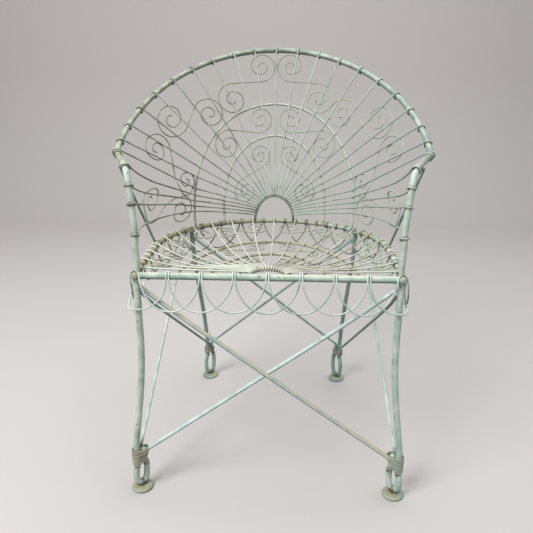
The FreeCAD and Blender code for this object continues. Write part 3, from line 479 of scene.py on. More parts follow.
def fan_wire(k, side):
    """Fan wire k from the middle: hook, run on the barrel, run to the hoop, and wrap."""
    angle = FAN_SPREAD * k / len(FAN_STEPS)
    s0, v0 = BACK_RING[0] * math.sin(angle), BACK_RING[1] * math.cos(angle)
    reach = arch_reach(AIMS[k])
    v1 = reach * math.cos(AIMS[k])
    s1 = narrowed(reach * math.sin(AIMS[k]), v1)
    t = np.linspace(0.0, 1.0, 40)
    lower = back(s0 + (s1 - s0) * t, v0 + (v1 - v0) * t, FAN_N)
    heading, front0 = unit(lower[1] - lower[0]), back_face(s0)
    rod, along = hoop_at(FAN_PLACES[k])
    arriving = rod - lower[-1]
    outward = unit(arriving - along * np.dot(arriving, along))
    front1 = np.cross(along, outward)
    front1 = front1 * np.sign(np.dot(front1, (0.0, HOOP_MID, rod[2]) - rod))
    near_hook = hook(back(s0, v0, ARCH_N), front0, -heading, ARCH_N - FAN_N, 285, 10)
    wrap = hook(rod, front1, outward, HOOP_R + WIRE_R, 10, 380 if k > LAST_CROWN_WRAP else 330)
    wrap = wrap + along * np.linspace(0.0, 3.2, len(wrap))[:, None]
    run = np.concatenate([lower[1:-1], bowed(lower[-1], wrap[0], t, BOWS[k])[:-1]])
    share = np.concatenate([t[1:-1] / 2, 0.5 + t[:-1] / 2])
    flanks = np.cross(heading, front0), np.cross(outward, front1)
    return strand(near_hook, run, share, wrap, flanks, side, 14.0)


def tie(length, side):
    """Short wire wound once and a half round the arm."""
    rod, along = hoop_at(length)
    ring = hook(rod, np.cross(along, UP), UP, HOOP_R + WIRE_R, 0, 540)
    ring = ring + along * np.linspace(-1.8, 1.8, len(ring))[:, None]
    return wire(sided(ring, side), sided(along, side), WIRE_R, 8.0, 2.0, 0.8)


for name, side in SIDES:
    crown_wires = [fan_wire(k, side) for k in range(1, FIRST_ARM_WIRE)]
    piece(f"back_fan_wires_{name}", "strands", crown_wires, fan_paint)
    arm_wires = [fan_wire(k, side) for k in range(FIRST_ARM_WIRE, len(FAN_PLACES))] + [tie(TIE_AT, side)]
    piece(f"back_arm_wires_{name}", "strands", arm_wires, arm_paint)
piece("back_fan_wire_middle", "strand", [fan_wire(0, 1)], fan_paint)
print("fan wires:", 2 * len(FAN_STEPS) + 1)

# %% [markdown]
# ## Arches and half ring of the back
# Behind the fan lie two tall arches and the half ring, bent from thicker rod. An arch is a superellipse: its width
# follows the cosine and its height a power of the sine, so that the shoulders can be fuller or slimmer.

# %% Arches of the back
def arch(half_width, height, power):
    """(across, up): half width times cosine, height times sine to the power 2 / power."""
    t = np.linspace(0.0, np.pi, 160)
    return -half_width * np.cos(t), height * np.abs(np.sin(t)) ** (2 / power)


def back_bow(half_width, height, power, tone):
    """Arch laid on the back, with its feet in the rim."""
    s, v = arch(half_width, height, power)
    return wire(back(s, v, ARCH_N), back_face(s), ARCH_R, 14.0, 3.0, 2.0, 12, tone)


piece("back_outer_arch", "bow", [back_bow(*OUTER_ARCH, 0.55)], arch_paint)
piece("back_inner_arch", "bow", [back_bow(124.0, 203.0, 2.1, 0.75)], arch_paint)
piece("back_fan_ring", "bow", [back_bow(*BACK_RING, 2.0, 0.3)], collar_paint)

# %% [markdown]
# ## Scrolls of the back
# Between hoop and arches sit S-scrolls of the thinnest wire. Each curl is a spiral whose radius shrinks evenly as it
# turns, and the two curls are joined by the straight line that touches both. They lie on one surface with the fan
# wires: the barrel up to the outer arch, and from there lines to the hoop.

# %% Scrolls of the back
SCROLL_N = FAN_N + WIRE_R + SCROLL_R
BORDER = (((34, 364), 35, (101, 287), 38, 1), ((158, 255), 38, (250, 248), 41, -1),
          ((300, 190), 37, (233, 109), 33, 1), ((364, 95), 34, (258, 50), 32, -1))
WIDER = (1.0, 1.0, 1.0, 1.35)  # the curls on the cheeks are drawn out sideways
BANDS = {"middle": ((38, 242), 32, (117, 182), 36, 1), "inner": ((38, 157), 27, (71, 72), 30, 1)}
CURL_TURNS = 1.7


def back_base(a, v):
    """Middle surface of the back, a across and v up in true lengths: barrel, then lines from arch to hoop."""
    angle = np.minimum(np.arctan2(np.maximum(a, 0.0), v), AIMS[-1])
    reach, edge = np.hypot(a, v), arch_reach(angle)
    rise = edge * np.cos(angle)
    start = back(narrowed(edge * np.sin(angle), rise), rise)
    end = hoop_at(np.interp(angle, AIMS, REACHED))[0]
    share = (reach - edge) / np.linalg.norm(end - start, axis=-1)
    upper = bowed(start, end, share, np.interp(angle, AIMS, BOWS))
    return np.where((reach <= edge)[:, None], back(narrowed(a, v), v), upper)


def back_true(a, v, n):
    """Point at n behind the middle surface, and the direction to the sitter: across times up, by differences."""
    face = unit(np.cross(back_base(a + 1, v) - back_base(a - 1, v), back_base(a, v + 1) - back_base(a, v - 1)))
    return back_base(a, v) - face * n, face


def curl(centre, radius, angle, spin):
    """Spiral inwards: radius times (1 - turns / 2)."""
    turns = np.linspace(0.0, CURL_TURNS, 90)
    r, a = radius * (1 - 0.5 * turns), angle + spin * 2 * np.pi * turns
    return np.stack([centre[0] + r * np.cos(a), centre[1] + r * np.sin(a)], axis=1)


def scroll(c1, r1, c2, r2, sense):
    """Flat S-scroll: two curls of one spin on the line that touches both circles from inside."""
    dx, dy = c2[0] - c1[0], c2[1] - c1[1]
    heading = math.atan2(dy, dx) + sense * math.asin((r1 + r2) / math.hypot(dx, dy))
    first = curl(c1, r1, heading - sense * math.pi / 2, -sense)
    second = curl(c2, r2, heading + sense * math.pi / 2, -sense)
    join = np.linspace(first[0], second[0], 30)[1:-1]
    return np.concatenate([first[::-1], join, second])


def back_scroll(values, side, wider=1.0):
    """Scroll laid on the back, just behind the fan wires; drawn narrower and then stretched where it is wider."""
    (a1, v1), r1, (a2, v2), r2, sense = values
    flat = scroll((a1 / wider, v1), r1, (a2 / wider, v2), r2, sense)
    points, face = back_true(flat[:, 0] * wider, flat[:, 1], SCROLL_N)
    return wire(sided(points, side), sided(face, side), SCROLL_R, 6.0, 2.2, 2.2)


for name, side in SIDES:
    curls = [back_scroll(values, side, wider) for values, wider in zip(BORDER, WIDER)]
    piece(f"back_border_scrolls_{name}", "curls", curls, scroll_paint)
for band, values in BANDS.items():
    curls = [back_scroll(values, side) for _, side in SIDES]
    piece(f"back_{band}_scrolls", "curls", curls, scroll_paint)
print("scrolls of the back:", 2 * len(BORDER) + 4)

# %% [markdown]
# ## The seat rim and the front rail
# The rim's two front ends are hammered into round knuckles, and the straight rail runs between them.

# %% Seat rim and rail
SEAT_WIRES = 10
RIM_PITCH = HALF_RIM / (SEAT_WIRES + 0.5)
KNUCKLE_R = 7.0
s = np.linspace(-HALF_RIM, HALF_RIM, 480)
path = rim_line(s)[0]
run = lengths(path)
wraps = np.arange(-2 * SEAT_WIRES, 2 * SEAT_WIRES + 1) / 2  # seat wires, and apron strands between them
rim = tube(path, UP, RIM_R, near(run, HALF_RIM + RIM_PITCH * wraps, 6.0), 0.5, 16)


def turned(centre, axis, profile, sides, tone, grime):
    """Surface of revolution about the axis, from (radius, distance) rows."""
    return rings(centre + axis * profile[:, 1:], RIGHT, np.cross(axis, RIGHT), profile[:, 0], grime, tone, sides)


def rail_line(x):
    """Rail's centre line at x; its ends, at the rim's half width, are the seat's front corners."""
    return np.stack([x, 0 * x + FRONT, 0 * x + SEAT_H], axis=-1)


b = np.radians(np.linspace(-86.0, 86.0, 15))
barrel = np.stack([KNUCKLE_R * np.cos(b) ** 0.45, 7.4 * np.sin(b)], axis=1)
knuckles = [turned(rail_line(side * RIM_BEND), REAR, barrel, 20, 0.8, 0.25) for _, side in SIDES]
piece("seat_rim", "rod", [rim] + knuckles, rim_paint)

RAIL_RUN = 2 * RIM_BEND
FRONT_PITCH = RAIL_RUN / 8
x = np.linspace(-RIM_BEND + 4, RIM_BEND - 4, 190)
dirt = near(x, FRONT_PITCH * np.arange(-4, 5), 5.0)
piece("front_rail", "rod", [tube(rail_line(x), UP, RAIL_R, dirt, 0.5, 18)], rail_paint)

# %% [markdown]
# ## The seat
# The seat repeats the back's plan lying down: a fan from a half ring behind the rail, two arches and scrolls under
# it. Its wires have sagged, so each line from the ring to the rim hangs as a parabola, deepest for the longest wires.

# %% Seat surface and its wires
SEAT_TOP = SEAT_H + RIM_R + WIRE_R
RING_Y = FRONT + RAIL_R
LONGEST = MID_Y + RIM_BEND - RING_Y - SEAT_RING
ARCH_DROP, SCROLL_DROP = ARCH_R + WIRE_R - 0.1, SCROLL_R + WIRE_R - 0.1
SAG, SAG_EASE, SEAT_SPREAD = 24.0, 100.0, math.radians(84.0)


def seat(x, y, drop=0.0):
    """Seat surface: the sag is SAG times 4 q (1 - q) times reach / longest, with q the share of the way out.

    It eases in behind the rail, over SAG_EASE mm, as 3 e^2 - 2 e^3.
    """
    angle = np.arctan2(np.abs(x), np.maximum(y - RING_Y, 1e-6))
    to_bend = MID_Y - RING_Y
    over = np.maximum(RIM_BEND ** 2 - (to_bend * np.sin(angle)) ** 2, 0.0)
    reach = np.where(np.tan(angle) * to_bend >= RIM_BEND, RIM_BEND / np.maximum(np.sin(angle), 1e-6),
                     to_bend * np.cos(angle) + np.sqrt(over)) - SEAT_RING
    q = np.clip((np.hypot(x, y - RING_Y) - SEAT_RING) / reach, 0.0, 1.0)
    e = np.clip((y - FRONT) / SAG_EASE, 0.0, 1.0)
    sag = SAG * 4 * q * (1 - q) * reach / LONGEST * e * e * (3 - 2 * e)
    return np.stack([x, y, SEAT_TOP - sag - drop], axis=-1)


def seat_wire(k, side):
    """Seat wire k from the middle: hooked round the half ring, sagging to the rim and wrapped round it."""
    angle = SEAT_SPREAD * k / SEAT_WIRES
    out0 = np.array([math.sin(angle), math.cos(angle), 0.0])
    start = (0.0, RING_Y, 0.0) + out0 * SEAT_RING
    rim_place, out1 = rim_line(RIM_PITCH * k)
    t = np.linspace(0.0, 1.0, 60)[:, None]
    plan = start + (rim_place - start) * t
    run = seat(plan[:, 0], plan[:, 1])
    heading = unit((rim_place - start) * LEVEL)
    ring_place = (*start[:2], SEAT_TOP - ARCH_DROP)
    near_hook = hook(ring_place, UP, -heading, ARCH_DROP, 285, 10)
    wrap = hook(rim_place, UP, out1, RIM_R + WIRE_R, 10, 320)
    wrap = wrap + np.cross(UP, out1) * np.linspace(0.0, 2.4, len(wrap))[:, None]
    flanks = np.cross(UP, heading), np.cross(UP, out1)
    return strand(near_hook, run[1:-1], t[1:-1, 0], wrap, flanks, side, 12.0)


for name, side in SIDES:
    strands = [seat_wire(k, side) for k in range(1, SEAT_WIRES + 1)]
    piece(f"seat_fan_wires_{name}", "strands", strands, seat_paint)
piece("seat_fan_wire_middle", "strand", [seat_wire(0, 1)], seat_paint)


def seat_bow(half_width, height, power, tone):
    """Arch under the seat wires, with its feet in the rail."""
    x, y = arch(half_width, height, power)
    return wire(seat(x, FRONT + y, ARCH_DROP), UP, ARCH_R, 14.0, 3.0, 2.0, 12, tone)


piece("seat_outer_arch", "bow", [seat_bow(160.0, 300.0, 2.4, 0.5)], under_paint)
piece("seat_inner_arch", "bow", [seat_bow(100.0, 210.0, 2.4, 0.6)], under_paint)
x, y = arch(SEAT_RING, SEAT_RING, 2.0)
loop = np.stack([x, RING_Y + y, 0 * x + SEAT_TOP - ARCH_DROP], axis=1)
feet = loop[[0, -1]] * (1.0, 0.0, 1.0) + (0.0, FRONT, 0.0)
loop = ease(np.concatenate([feet[:1], loop, feet[1:]]), 2.5, 2.0)
piece("seat_fan_ring", "bow", [tube(loop, UP, ARCH_R, 0.6, 0.4, 12)], under_paint)

SEAT_BORDER = (((40, 378), 30, (110, 330), 30, 1), ((160, 300), 30, (200, 225), 26, -1),
               ((195, 148), 26, (200, 72), 26, 1))
SEAT_BANDS = {"middle": (((36, 255), 22, (88, 205), 22, 1), ((121, 130), 17, (130, 60), 17, -1)),
              "inner": (((34, 150), 22, (62, 90), 22, 1),)}


def seat_scroll(values, side):
    """Scroll laid just under the seat wires."""
    flat = scroll(*values)
    points = seat(flat[:, 0], FRONT + flat[:, 1], SCROLL_DROP)
    return wire(sided(points, side), UP, SCROLL_R, 6.0, 2.2, 2.2)


for name, side in SIDES:
    curls = [seat_scroll(values, side) for values in SEAT_BORDER]
    piece(f"seat_border_scrolls_{name}", "curls", curls, scroll_paint)
for band, rows in SEAT_BANDS.items():
    curls = [seat_scroll(values, side) for values in rows for _, side in SIDES]
    piece(f"seat_{band}_scrolls", "curls", curls, scroll_paint)

# %% [markdown]
# ## The apron
# Loops of wire hang round the seat's edge like a garland. Each starts at one wrap and ends at the next but one, so
# neighbours cross, and each starts outside its neighbour and ends inside it. At the front corners a loop goes round
# the leg, and the strands beside the knuckle join over it.

# %% Apron
AROUND = RAIL_RUN + 2 * HALF_RIM
CORNER_TURN = 8.47 * math.pi / 4
HANG, HANG_POWER = 62.0, 2 / 1.7


def seat_edge(w):
    """Rail or rim centre line and outward direction at w along the edge, from the left corner to the right.

    Within CORNER_TURN of a corner the place is the corner and the direction turns; beside it the places close up.
    """
    w = np.asarray(w, float) % AROUND
    corner = np.where(w < RIM_BEND, 0.0, np.where(w < AROUND / 2 + RIM_BEND, RAIL_RUN, AROUND))
    side = np.where(corner == RAIL_RUN, 1.0, -1.0)
    away = w - corner
    close = np.abs(away) < FRONT_PITCH
    squeezed = np.maximum(np.abs(away) - CORNER_TURN, 0.0) * FRONT_PITCH / (FRONT_PITCH - CORNER_TURN)
    w = np.where(close, corner + np.sign(away) * squeezed, w)
    on_rail = ((w >= 0) & (w <= RAIL_RUN))[..., None]
    rim_place, out = rim_line(HALF_RIM - (w - RAIL_RUN))
    place = np.where(on_rail, rail_line(w - RIM_BEND), rim_place)
    out = np.where(on_rail, -REAR, out)
    turn = np.pi / 4 * (1 + side * np.clip(away / CORNER_TURN, -1.0, 1.0))
    turning = np.stack([side * np.sin(turn), -np.cos(turn), 0 * turn], axis=-1)
    at_corner = (np.abs(away) <= CORNER_TURN + 1e-6)[..., None]
    return np.where(at_corner, rail_line(side * RIM_BEND), place), np.where(at_corner, turning, out)


CORNER_STRAND = CORNER_TURN + 9.8 * (FRONT_PITCH - CORNER_TURN) / FRONT_PITCH


def apron_tip(w):
    """Upper end of a strand, from the rod's outer side up and over it; beside a corner, over the knuckle."""
    place, out = seat_edge(w)
    side = math.copysign(1.0, place[0])
    corner = rail_line(side * RIM_BEND)
    away = np.linalg.norm(place - corner)
    if away < 2.0:
        return hook(corner, side * RIGHT, UP, KNUCKLE_R + WIRE_R + 0.4, -10, 95)
    if away < 12.0:
        tip = hook(corner, -side * RIGHT, UP, KNUCKLE_R + WIRE_R + 0.7, -30, 90)
        tip[:, 1] = FRONT + np.linspace(-RAIL_R - WIRE_R - 1.0, -1.0, len(tip))
        return tip
    radius = RAIL_R if abs(place[1] - FRONT) < 1.0 else RIM_R
    return hook(place, out, UP, radius + WIRE_R, 5, 235)


def apron_loop(start, end):
    """Hanging loop: along the edge a cosine, down HANG times a power of the sine, with tips over the rod.

    A loop that goes round a corner hangs a little less and is rounder.
    """
    t = np.linspace(0.0, np.pi, 70)
    w = (start + end) / 2 - (end - start) / 2 * np.cos(t)
    place, out = seat_edge(w)
    stand = RAIL_R + WIRE_R + 0.3 + 2.3 * (1 + np.sin(2 * t))
    rounds = float(np.ptp(out[:, 0]) > 0.9)
    hang = (HANG - 3.0 * rounds) * np.abs(np.sin(t)) ** (HANG_POWER - 0.3 * rounds)
    body = (place + out * stand[:, None] - UP * hang[:, None])[4:-4]
    head, tail = apron_tip(start)[::-1], apron_tip(end)
    points = np.concatenate([head, body, tail])
    flank = np.cross(UP, out)[4:-4]
    mid = np.sin(t[4:-4, None])
    hang_aside = out[4:-4] * np.sqrt(mid) - flank * np.sign(t[4:-4, None] - np.pi / 2) * (1 - mid)
    aside = np.concatenate([np.broadcast_to(np.cross(UP, out[0]), head.shape), unit(hang_aside),
                            np.broadcast_to(-np.cross(UP, out[-1]), tail.shape)])
    return wire(points, aside, WIRE_R, 12.0, 2.2, 2.2)


first = POST_FOOT + 19.0
on_rim = np.concatenate([[first], RIM_PITCH * np.arange(2, 2 * SEAT_WIRES), [2 * HALF_RIM - first]])
places = np.concatenate([FRONT_PITCH * np.arange(1, 8), RAIL_RUN + on_rim])
pairs = [(w - 2.1, w + 2.1) for w in places]
pairs.insert(0, (-CORNER_TURN, CORNER_STRAND))
pairs.insert(8, (RAIL_RUN - CORNER_STRAND, RAIL_RUN + CORNER_TURN))
limits = {"front": RAIL_RUN, "right": RAIL_RUN + SIDE_RUN, "back": AROUND - SIDE_RUN, "left": AROUND}
groups = {name: [] for name in limits}
for i, (_, start) in enumerate(pairs):
    end = pairs[(i + 2) % len(pairs)][0] + (AROUND if i + 2 >= len(pairs) else 0.0)
    name = next(n for n, limit in limits.items() if start < limit)
    groups[name].append(apron_loop(start, end))
for name, loops in groups.items():
    piece(f"apron_{name}", "loops", loops, skirt_paint if name == "back" else apron_paint)
print("apron loops:", {name: len(loops) for name, loops in groups.items()})

# %% [markdown]
# ## Legs, eyes and feet
# Each leg comes down from the rim in a slow curve. At the floor it turns back on itself in a drop-shaped eye, and
# the turned-back end is bound to the leg. Between stations, places that the photograph gives, the path is a cubic
# with given directions. The eye stands on a small disc, worn at its edge.

# %% Legs
EYE_BEND, FOOT_H, FOOT_R = 9.5, 8.0, 20.0
REAR_AT = 222.0  # along the rim, from the back's middle
REAR_TOP = rim_line(REAR_AT)[0] - rim_line(REAR_AT)[1] * RIM_R
# end: top of the turned-back rod; bound: lowest turn and turns of the binding, which widens by flare and has grime by
# soil; meet: height over which the rods join; eye: direction from the leg to the turned-back rod
LEGS = {
    "front": dict(
        radius=6.0, end=84.0, bound=(58.0, 7), flare=2.5, soil=0.25, meet=15.0, eye=(-0.75, 0.66, 0.0),
        stations=[((RIM_BEND, FRONT, SEAT_H), (-0.10, 0, -1)), ((RIM_BEND - 10, FRONT - 1, 300.0), (0.02, 0, -1)),
                  ((RIM_BEND + 12, FRONT - 5, 100.0), (0.14, 0, -1))]),
    "rear": dict(
        radius=5.0, end=96.0, bound=(72.0, 3), flare=0.0, soil=0.6, meet=12.0, eye=(-0.8, 0.6, 0.0),
        stations=[(REAR_TOP, (-0.02, 0.15, -1)), (REAR_TOP + (-2.0, 13.0, -68.0), (-0.04, 0.28, -1)),
                  ((175.0, MID_Y + 240, 110.0), (-0.02, 0.20, -1)), ((175.0, MID_Y + 244, 86.0), (0, 0, -1))]),
}


def cubic(p0, t0, p1, t1, count=40):
    """Cubic from p0 to p1 that leaves along t0 and arrives along t1, both as long as the chord."""
    p0, t0, p1, t1 = (np.asarray(a, float) for a in (p0, t0, p1, t1))
    size = np.linalg.norm(p1 - p0)
    u = np.linspace(0.0, 1.0, count)[:, None]
    return ((2 * u ** 3 - 3 * u ** 2 + 1) * p0 + (u ** 3 - 2 * u ** 2 + u) * size * unit(t0)
            + (3 * u ** 2 - 2 * u ** 3) * p1 + (u ** 3 - u ** 2) * size * unit(t1))


def ankle(leg):
    """Leg axis where it is bound, the turned-back end beside it, and the direction between them (right side)."""
    across = unit(np.array(leg["eye"]))
    down = np.array([*leg["stations"][-1][0][:2], leg["bound"][0] - 4.5])
    return down, down + across * (2 * leg["radius"] + 0.5), across


def leg_rod(leg, side):
    """Leg from the rim through its stations, round the eye and up again to its end."""
    down, up, across = ankle(leg)
    middle = (down + up) / 2
    middle[2] = FOOT_H - 1.2 + leg["radius"] + EYE_BEND
    joined = up + UP * leg["meet"]
    runs = [cubic(*a, *b) for a, b in zip(leg["stations"], leg["stations"][1:])] + [
        np.linspace(leg["stations"][-1][0], down, 12),
        cubic(down, -UP - 0.5 * across, middle - across * EYE_BEND, 0.25 * across - UP, 16),
        hook(middle, -across, -UP, EYE_BEND, 0, 180),
        cubic(middle + across * EYE_BEND, UP + 0.25 * across, joined, UP - 0.5 * across, 16),
        np.linspace(joined, (*up[:2], leg["end"]), 8)]
    path = ease(sided(np.concatenate([r[1:] if i else r for i, r in enumerate(runs)]), side), 3.0, 2.5)
    run = lengths(path)
    low = np.exp(-((path[:, 2] - leg["bound"][0] + 3) / 9.0) ** 2) + np.exp(-((path[:, 2] - 12) / 7.0) ** 2)
    dirt = np.clip(low + near(run, [0.0], 20.0), 0.0, 1.0)
    return tube(path, sided(np.cross(UP, across), side), leg["radius"], dirt, 0.5, 16)


def foot(leg, side):
    """Disc with rounded edges and a slightly domed top, as radius and height."""
    down, up, _ = ankle(leg)
    centre = sided((down + up) / 2 * LEVEL, side)
    b = np.radians(np.linspace(-90.0, 90.0, 13))
    edge = np.stack([FOOT_R - 3.4 + 3.4 * np.cos(b), 3.4 + 3.4 * np.sin(b)], axis=1)
    under = [(2.0, 0.0), (12.0, 0.0)]
    top = [(13.0, 7.4), (9.0, 7.8), (5.0, 8.0), (1.5, 8.0)]
    profile = np.concatenate([under, edge, top])
    grime = np.clip(1.2 - profile[:, 0] / 14.0, 0.15, 1.0)
    return turned(centre, UP, profile, 32, 0.5, grime)


for name, side in SIDES:
    for end, leg in LEGS.items():
        finish = leg_paint if end == "front" else rear_paint
        piece(f"{end}_leg_{name}", "rod", [leg_rod(leg, side)], finish)
        piece(f"{end}_foot_{name}", "disc", [foot(leg, side)], foot_paint)

# %% [markdown]
# ## Ankle bindings
# A thin wire is wound round the leg and its turned-back end. The winding is one unbroken path: half circles round the
# two rods and straight lines between them. Dirt lies in its grooves, and most of all at the rear ankles.

# %% Ankle bindings
BIND_R, BIND_PITCH = 1.9, 4.2


def winding(leg, side):
    """Stadium that climbs evenly: its lowest turn holds little more than the leg, its top one both rods."""
    down, up, across = ankle(leg)
    low, turns = leg["bound"]
    square = np.cross(UP, across)
    a = np.radians(np.tile(np.linspace(0.0, 180.0, 20), 2 * turns + 1))[:, None]
    lap = np.repeat(np.arange(2 * turns + 1) % 2, 20)[:, None]
    share = np.linspace(0.0, 1.0, len(a))[:, None]
    stand = leg["radius"] + BIND_R + 0.2 + leg["flare"] * lap * share ** 2
    taken = lap * (0.35 + 0.65 * np.minimum(1.0, 1.8 * share))
    path = down + (up - down) * taken + (1 - 2 * lap) * stand * (np.cos(a) * square - np.sin(a) * across)
    path[:, 2] = low + share[:, 0] * (turns + 0.5) * BIND_PITCH
    path = ease(sided(path, side), 2.2, 1.2)
    shape = tube(path, UP, BIND_R, 0.0, 0.6, 8)
    groove = np.tile(np.cos(np.arange(8) * np.pi / 4) ** 2, len(shape["verts"]) // 8)
    shape["grime"] = leg["soil"] + (1 - leg["soil"]) * groove
    return shape


windings = [winding(leg, side) for leg in LEGS.values() for _, side in SIDES]
piece("ankle_bindings", "windings", windings, bind_paint)

# %% [markdown]
# ## Braces and stays
# Straight rods cross between the legs, and two thin stays run up from the rim to the arms. A rear brace turns against
# the ankle in one bend, and a stay lies along the arm at its top.

# %% Braces and stays
FRONT_BRACE_R, BRACE_R, STAY_R = 3.7, 2.8, 2.5
BRACE_TOP = RIM_BEND - 6  # across, where braces meet the front corners
SIDE_AT, STAY_AT = 230.0, 358.0  # along the rim, from the back's middle
STAY_TOP = np.array([640.0, 668.0])  # along the hoop, from its top
ELBOW, ELBOW_BEND = (175.0, MID_Y + 240, 106.0), 14.0


def bar(points, radius, tone, soft=2.5):
    """Rod through a few points, with rounded bends and grime at its ends."""
    points = np.asarray(points, float)
    along = unit(points[-1] - points[0])
    aside = np.cross(along, UP) if abs(along[2]) < 0.95 else RIGHT
    return wire(points, unit(aside), radius, 10.0, 4.0, soft, 12, tone)


def front_brace(side):
    """From a front corner down to the opposite ankle; one passes before the other."""
    depth = FRONT + 2.3 + side * (FRONT_BRACE_R + 0.15)
    far = -side * ankle(LEGS["front"])[1][0]
    return bar([(side * BRACE_TOP, depth, SEAT_H - 18), (far, depth, 77.0)], FRONT_BRACE_R, 0.6)


def side_brace(side):
    """From a front ankle up to the rim beside the rear leg."""
    low = sided(ankle(LEGS["front"])[1], side) * LEVEL + (side * BRACE_R, 0.0, 93.5)
    top, out = rim_line(side * SIDE_AT)
    return bar([low, top + out * 2.5], BRACE_R, 0.6)


def rear_brace(side):
    """One rod bent against the rear ankle: up to the front corner, and across to the other rear leg's top."""
    lap = side * (BRACE_R + 0.15)
    front_top = np.array([side * (BRACE_TOP - 1.3 * BRACE_R), FRONT, SEAT_H - 30])
    far_top = np.array([-side * REAR_TOP[0], REAR_TOP[1] - lap, SEAT_H - 14])
    bend_at = sided(np.array(ELBOW), side)
    to_front, to_far = unit(front_top - bend_at), unit(far_top - bend_at)
    inside, along = unit(to_front + to_far), unit(to_far - to_front)
    level = unit(np.cross(UP, along)) * side
    touch = bend_at + level * (LEGS["rear"]["radius"] + BRACE_R + 0.2) - along * (lap / along[1])
    half_angle = math.acos(np.dot(to_front, to_far)) / 2
    corner = touch - inside * (ELBOW_BEND / math.sin(half_angle) - ELBOW_BEND)
    return bar([front_top, corner + to_front * 30, corner, corner + to_far * 30, far_top], BRACE_R, 0.5, 7.0)


def arm_stay(side):
    """From the rim's outer side up to the arm, with its upper end along the arm's outer underside."""
    foot_at, out = rim_line(STAY_AT)
    arm, along = hoop_at(STAY_TOP)
    lower = out * 0.8 - UP
    below = unit(lower - along * np.sum(along * lower, axis=1, keepdims=True))
    stay = np.concatenate([[foot_at + out * 3.75], arm + below * (HOOP_R + STAY_R + 0.3)])
    return bar(sided(stay, side), STAY_R, 0.4, 10.0)


for name, side in SIDES:
    piece(f"front_brace_{name}", "rod", [front_brace(side)], tan_paint if side < 0 else brace_paint)
    piece(f"side_brace_{name}", "rod", [side_brace(side)], leg_paint)
    piece(f"rear_brace_{name}", "rod", [rear_brace(side)], rear_paint)
    piece(f"arm_stay_{name}", "rod", [arm_stay(side)], rear_paint)
print("pieces:", len(made))

# %% [markdown]
# ## The studio floor
# A pale sweep stands for the room: a flat floor that curves up into a wall, far enough behind for views from the
# back. It is a profile drawn across, like paper hung from a roll, and it keeps the chair's shadow.

# %% Floor and backdrop
SWEEP_BEND, BEND_FROM = 0.9, 1.9  # radius and start of the curve behind the chair, in metres
u = np.linspace(-6.0, 6.0, 40)
p = np.radians(np.linspace(0.0, 90.0, 24))
curve = np.stack([BEND_FROM + SWEEP_BEND * np.sin(p), SWEEP_BEND - SWEEP_BEND * np.cos(p)], axis=1)
profile = np.concatenate([[[-6.0, 0.0], [0.0, 0.0]], curve, [[BEND_FROM + SWEEP_BEND, 4.5]]])
m = len(profile)
grid = np.stack([np.repeat(u, m), np.tile(profile[:, 0], len(u)), np.tile(profile[:, 1], len(u))], axis=1)
i, j = np.meshgrid(np.arange(len(u) - 1), np.arange(m - 1), indexing="ij")
quads = np.stack([i * m + j, (i + 1) * m + j, (i + 1) * m + j + 1, i * m + j + 1], axis=-1).reshape(-1, 4)
matte = bpy.data.materials.new("matte_studio_paper")
matte.use_nodes = True
paper = matte.node_tree.nodes["Principled BSDF"].inputs
paper["Base Color"].default_value = colour("#c9c2bc")
paper["Roughness"].default_value = 0.9
sweep = surface("studio_sweep", grid, quads.tolist(), matte)

# %% [markdown]
# ## Light
# The thin rods need one clear direction of light, so a large lamp stands at the upper left and weak ones above and
# on the right. The world adds a little light from everywhere; the camera and reflections see it as a pale wall.

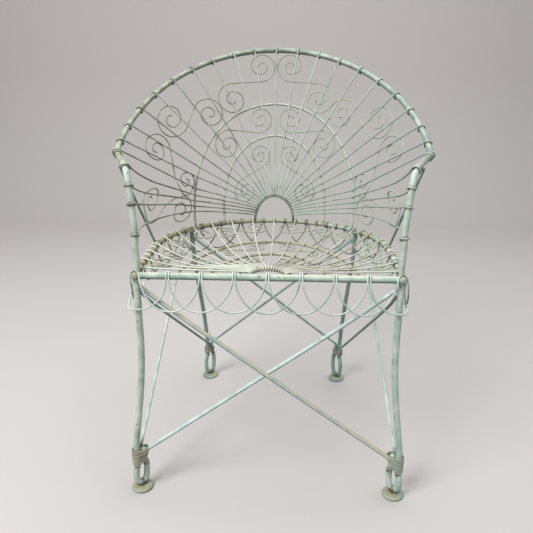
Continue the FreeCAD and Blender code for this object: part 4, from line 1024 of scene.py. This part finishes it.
# %% Lamps and world
world = bpy.data.worlds.new("studio_air")
bpy.context.scene.world = world
world.use_nodes = True
air = world.node_tree
light = air.nodes["Background"]
light.inputs["Color"].default_value = colour("#e9edf0")
light.inputs["Strength"].default_value = 0.32
seen = add(air, "ShaderNodeBackground", {"Color": colour("#cdc7c2"), "Strength": 1.0})
rays = add(air, "ShaderNodeLightPath").outputs
shown = rays["Is Camera Ray"]
for kind in ("Is Glossy Ray", "Is Transmission Ray"):
    shown = add(air, "ShaderNodeMath", {"operation": "MAXIMUM"}, {0: shown, 1: rays[kind]}).outputs[0]
both = add(air, "ShaderNodeMixShader", links={0: shown, 1: light.outputs[0], 2: seen.outputs[0]})
air.links.new(both.outputs[0], air.nodes["World Output"].inputs["Surface"])


def lamp(name, place, aim, size, watts, code):
    """Square soft lamp that looks from its place at the aim."""
    data = bpy.data.lights.new(name, "AREA")
    data.size, data.energy, data.color = size, watts, colour(code)[:3]
    thing = placed(name, data)
    thing.location = place
    look = Vector(aim) - Vector(place)
    thing.rotation_mode = "QUATERNION"
    thing.rotation_quaternion = look.to_track_quat("-Z", "Y")


lamp("key_lamp", (-1.6, -1.8, 2.6), (0.0, 0.0, 0.4), 1.4, 96.0, "#f8fbff")
lamp("top_lamp", (0.3, 0.4, 3.0), (0.0, 0.0, 0.4), 2.0, 52.0, "#f0f7ff")
lamp("fill_lamp", (2.2, -1.2, 1.6), (0.0, 0.0, 0.45), 1.8, 10.0, "#eef4ff")

# %% [markdown]
# ## The camera
# The camera has the photograph's place, tilt and lens. They were fitted to the ends of the rail, the rim and the
# feet; the small roll is the photograph's own.

# %% Camera
camera_data = bpy.data.cameras.new("camera")
camera_data.sensor_fit = "HORIZONTAL"
SENSOR, FOCAL_PIXELS, PHOTO_PIXELS = 36.0, 534.0, 533.0
camera_data.sensor_width = SENSOR
camera_data.lens = SENSOR * FOCAL_PIXELS / PHOTO_PIXELS
camera = placed("camera", camera_data)
pitch, yaw, roll = (math.radians(a) for a in (18.0, 2.2, 0.25))
look = Vector((-math.sin(yaw) * math.cos(pitch), math.cos(yaw) * math.cos(pitch), -math.sin(pitch)))
camera.location = (0.03064, -1.10154, 0.734)
camera.rotation_mode = "QUATERNION"
camera.rotation_quaternion = look.to_track_quat("-Z", "Y") @ Quaternion((0.0, 0.0, 1.0), roll)
bpy.context.scene.camera = camera
bpy.context.scene.view_settings.view_transform = "Standard"
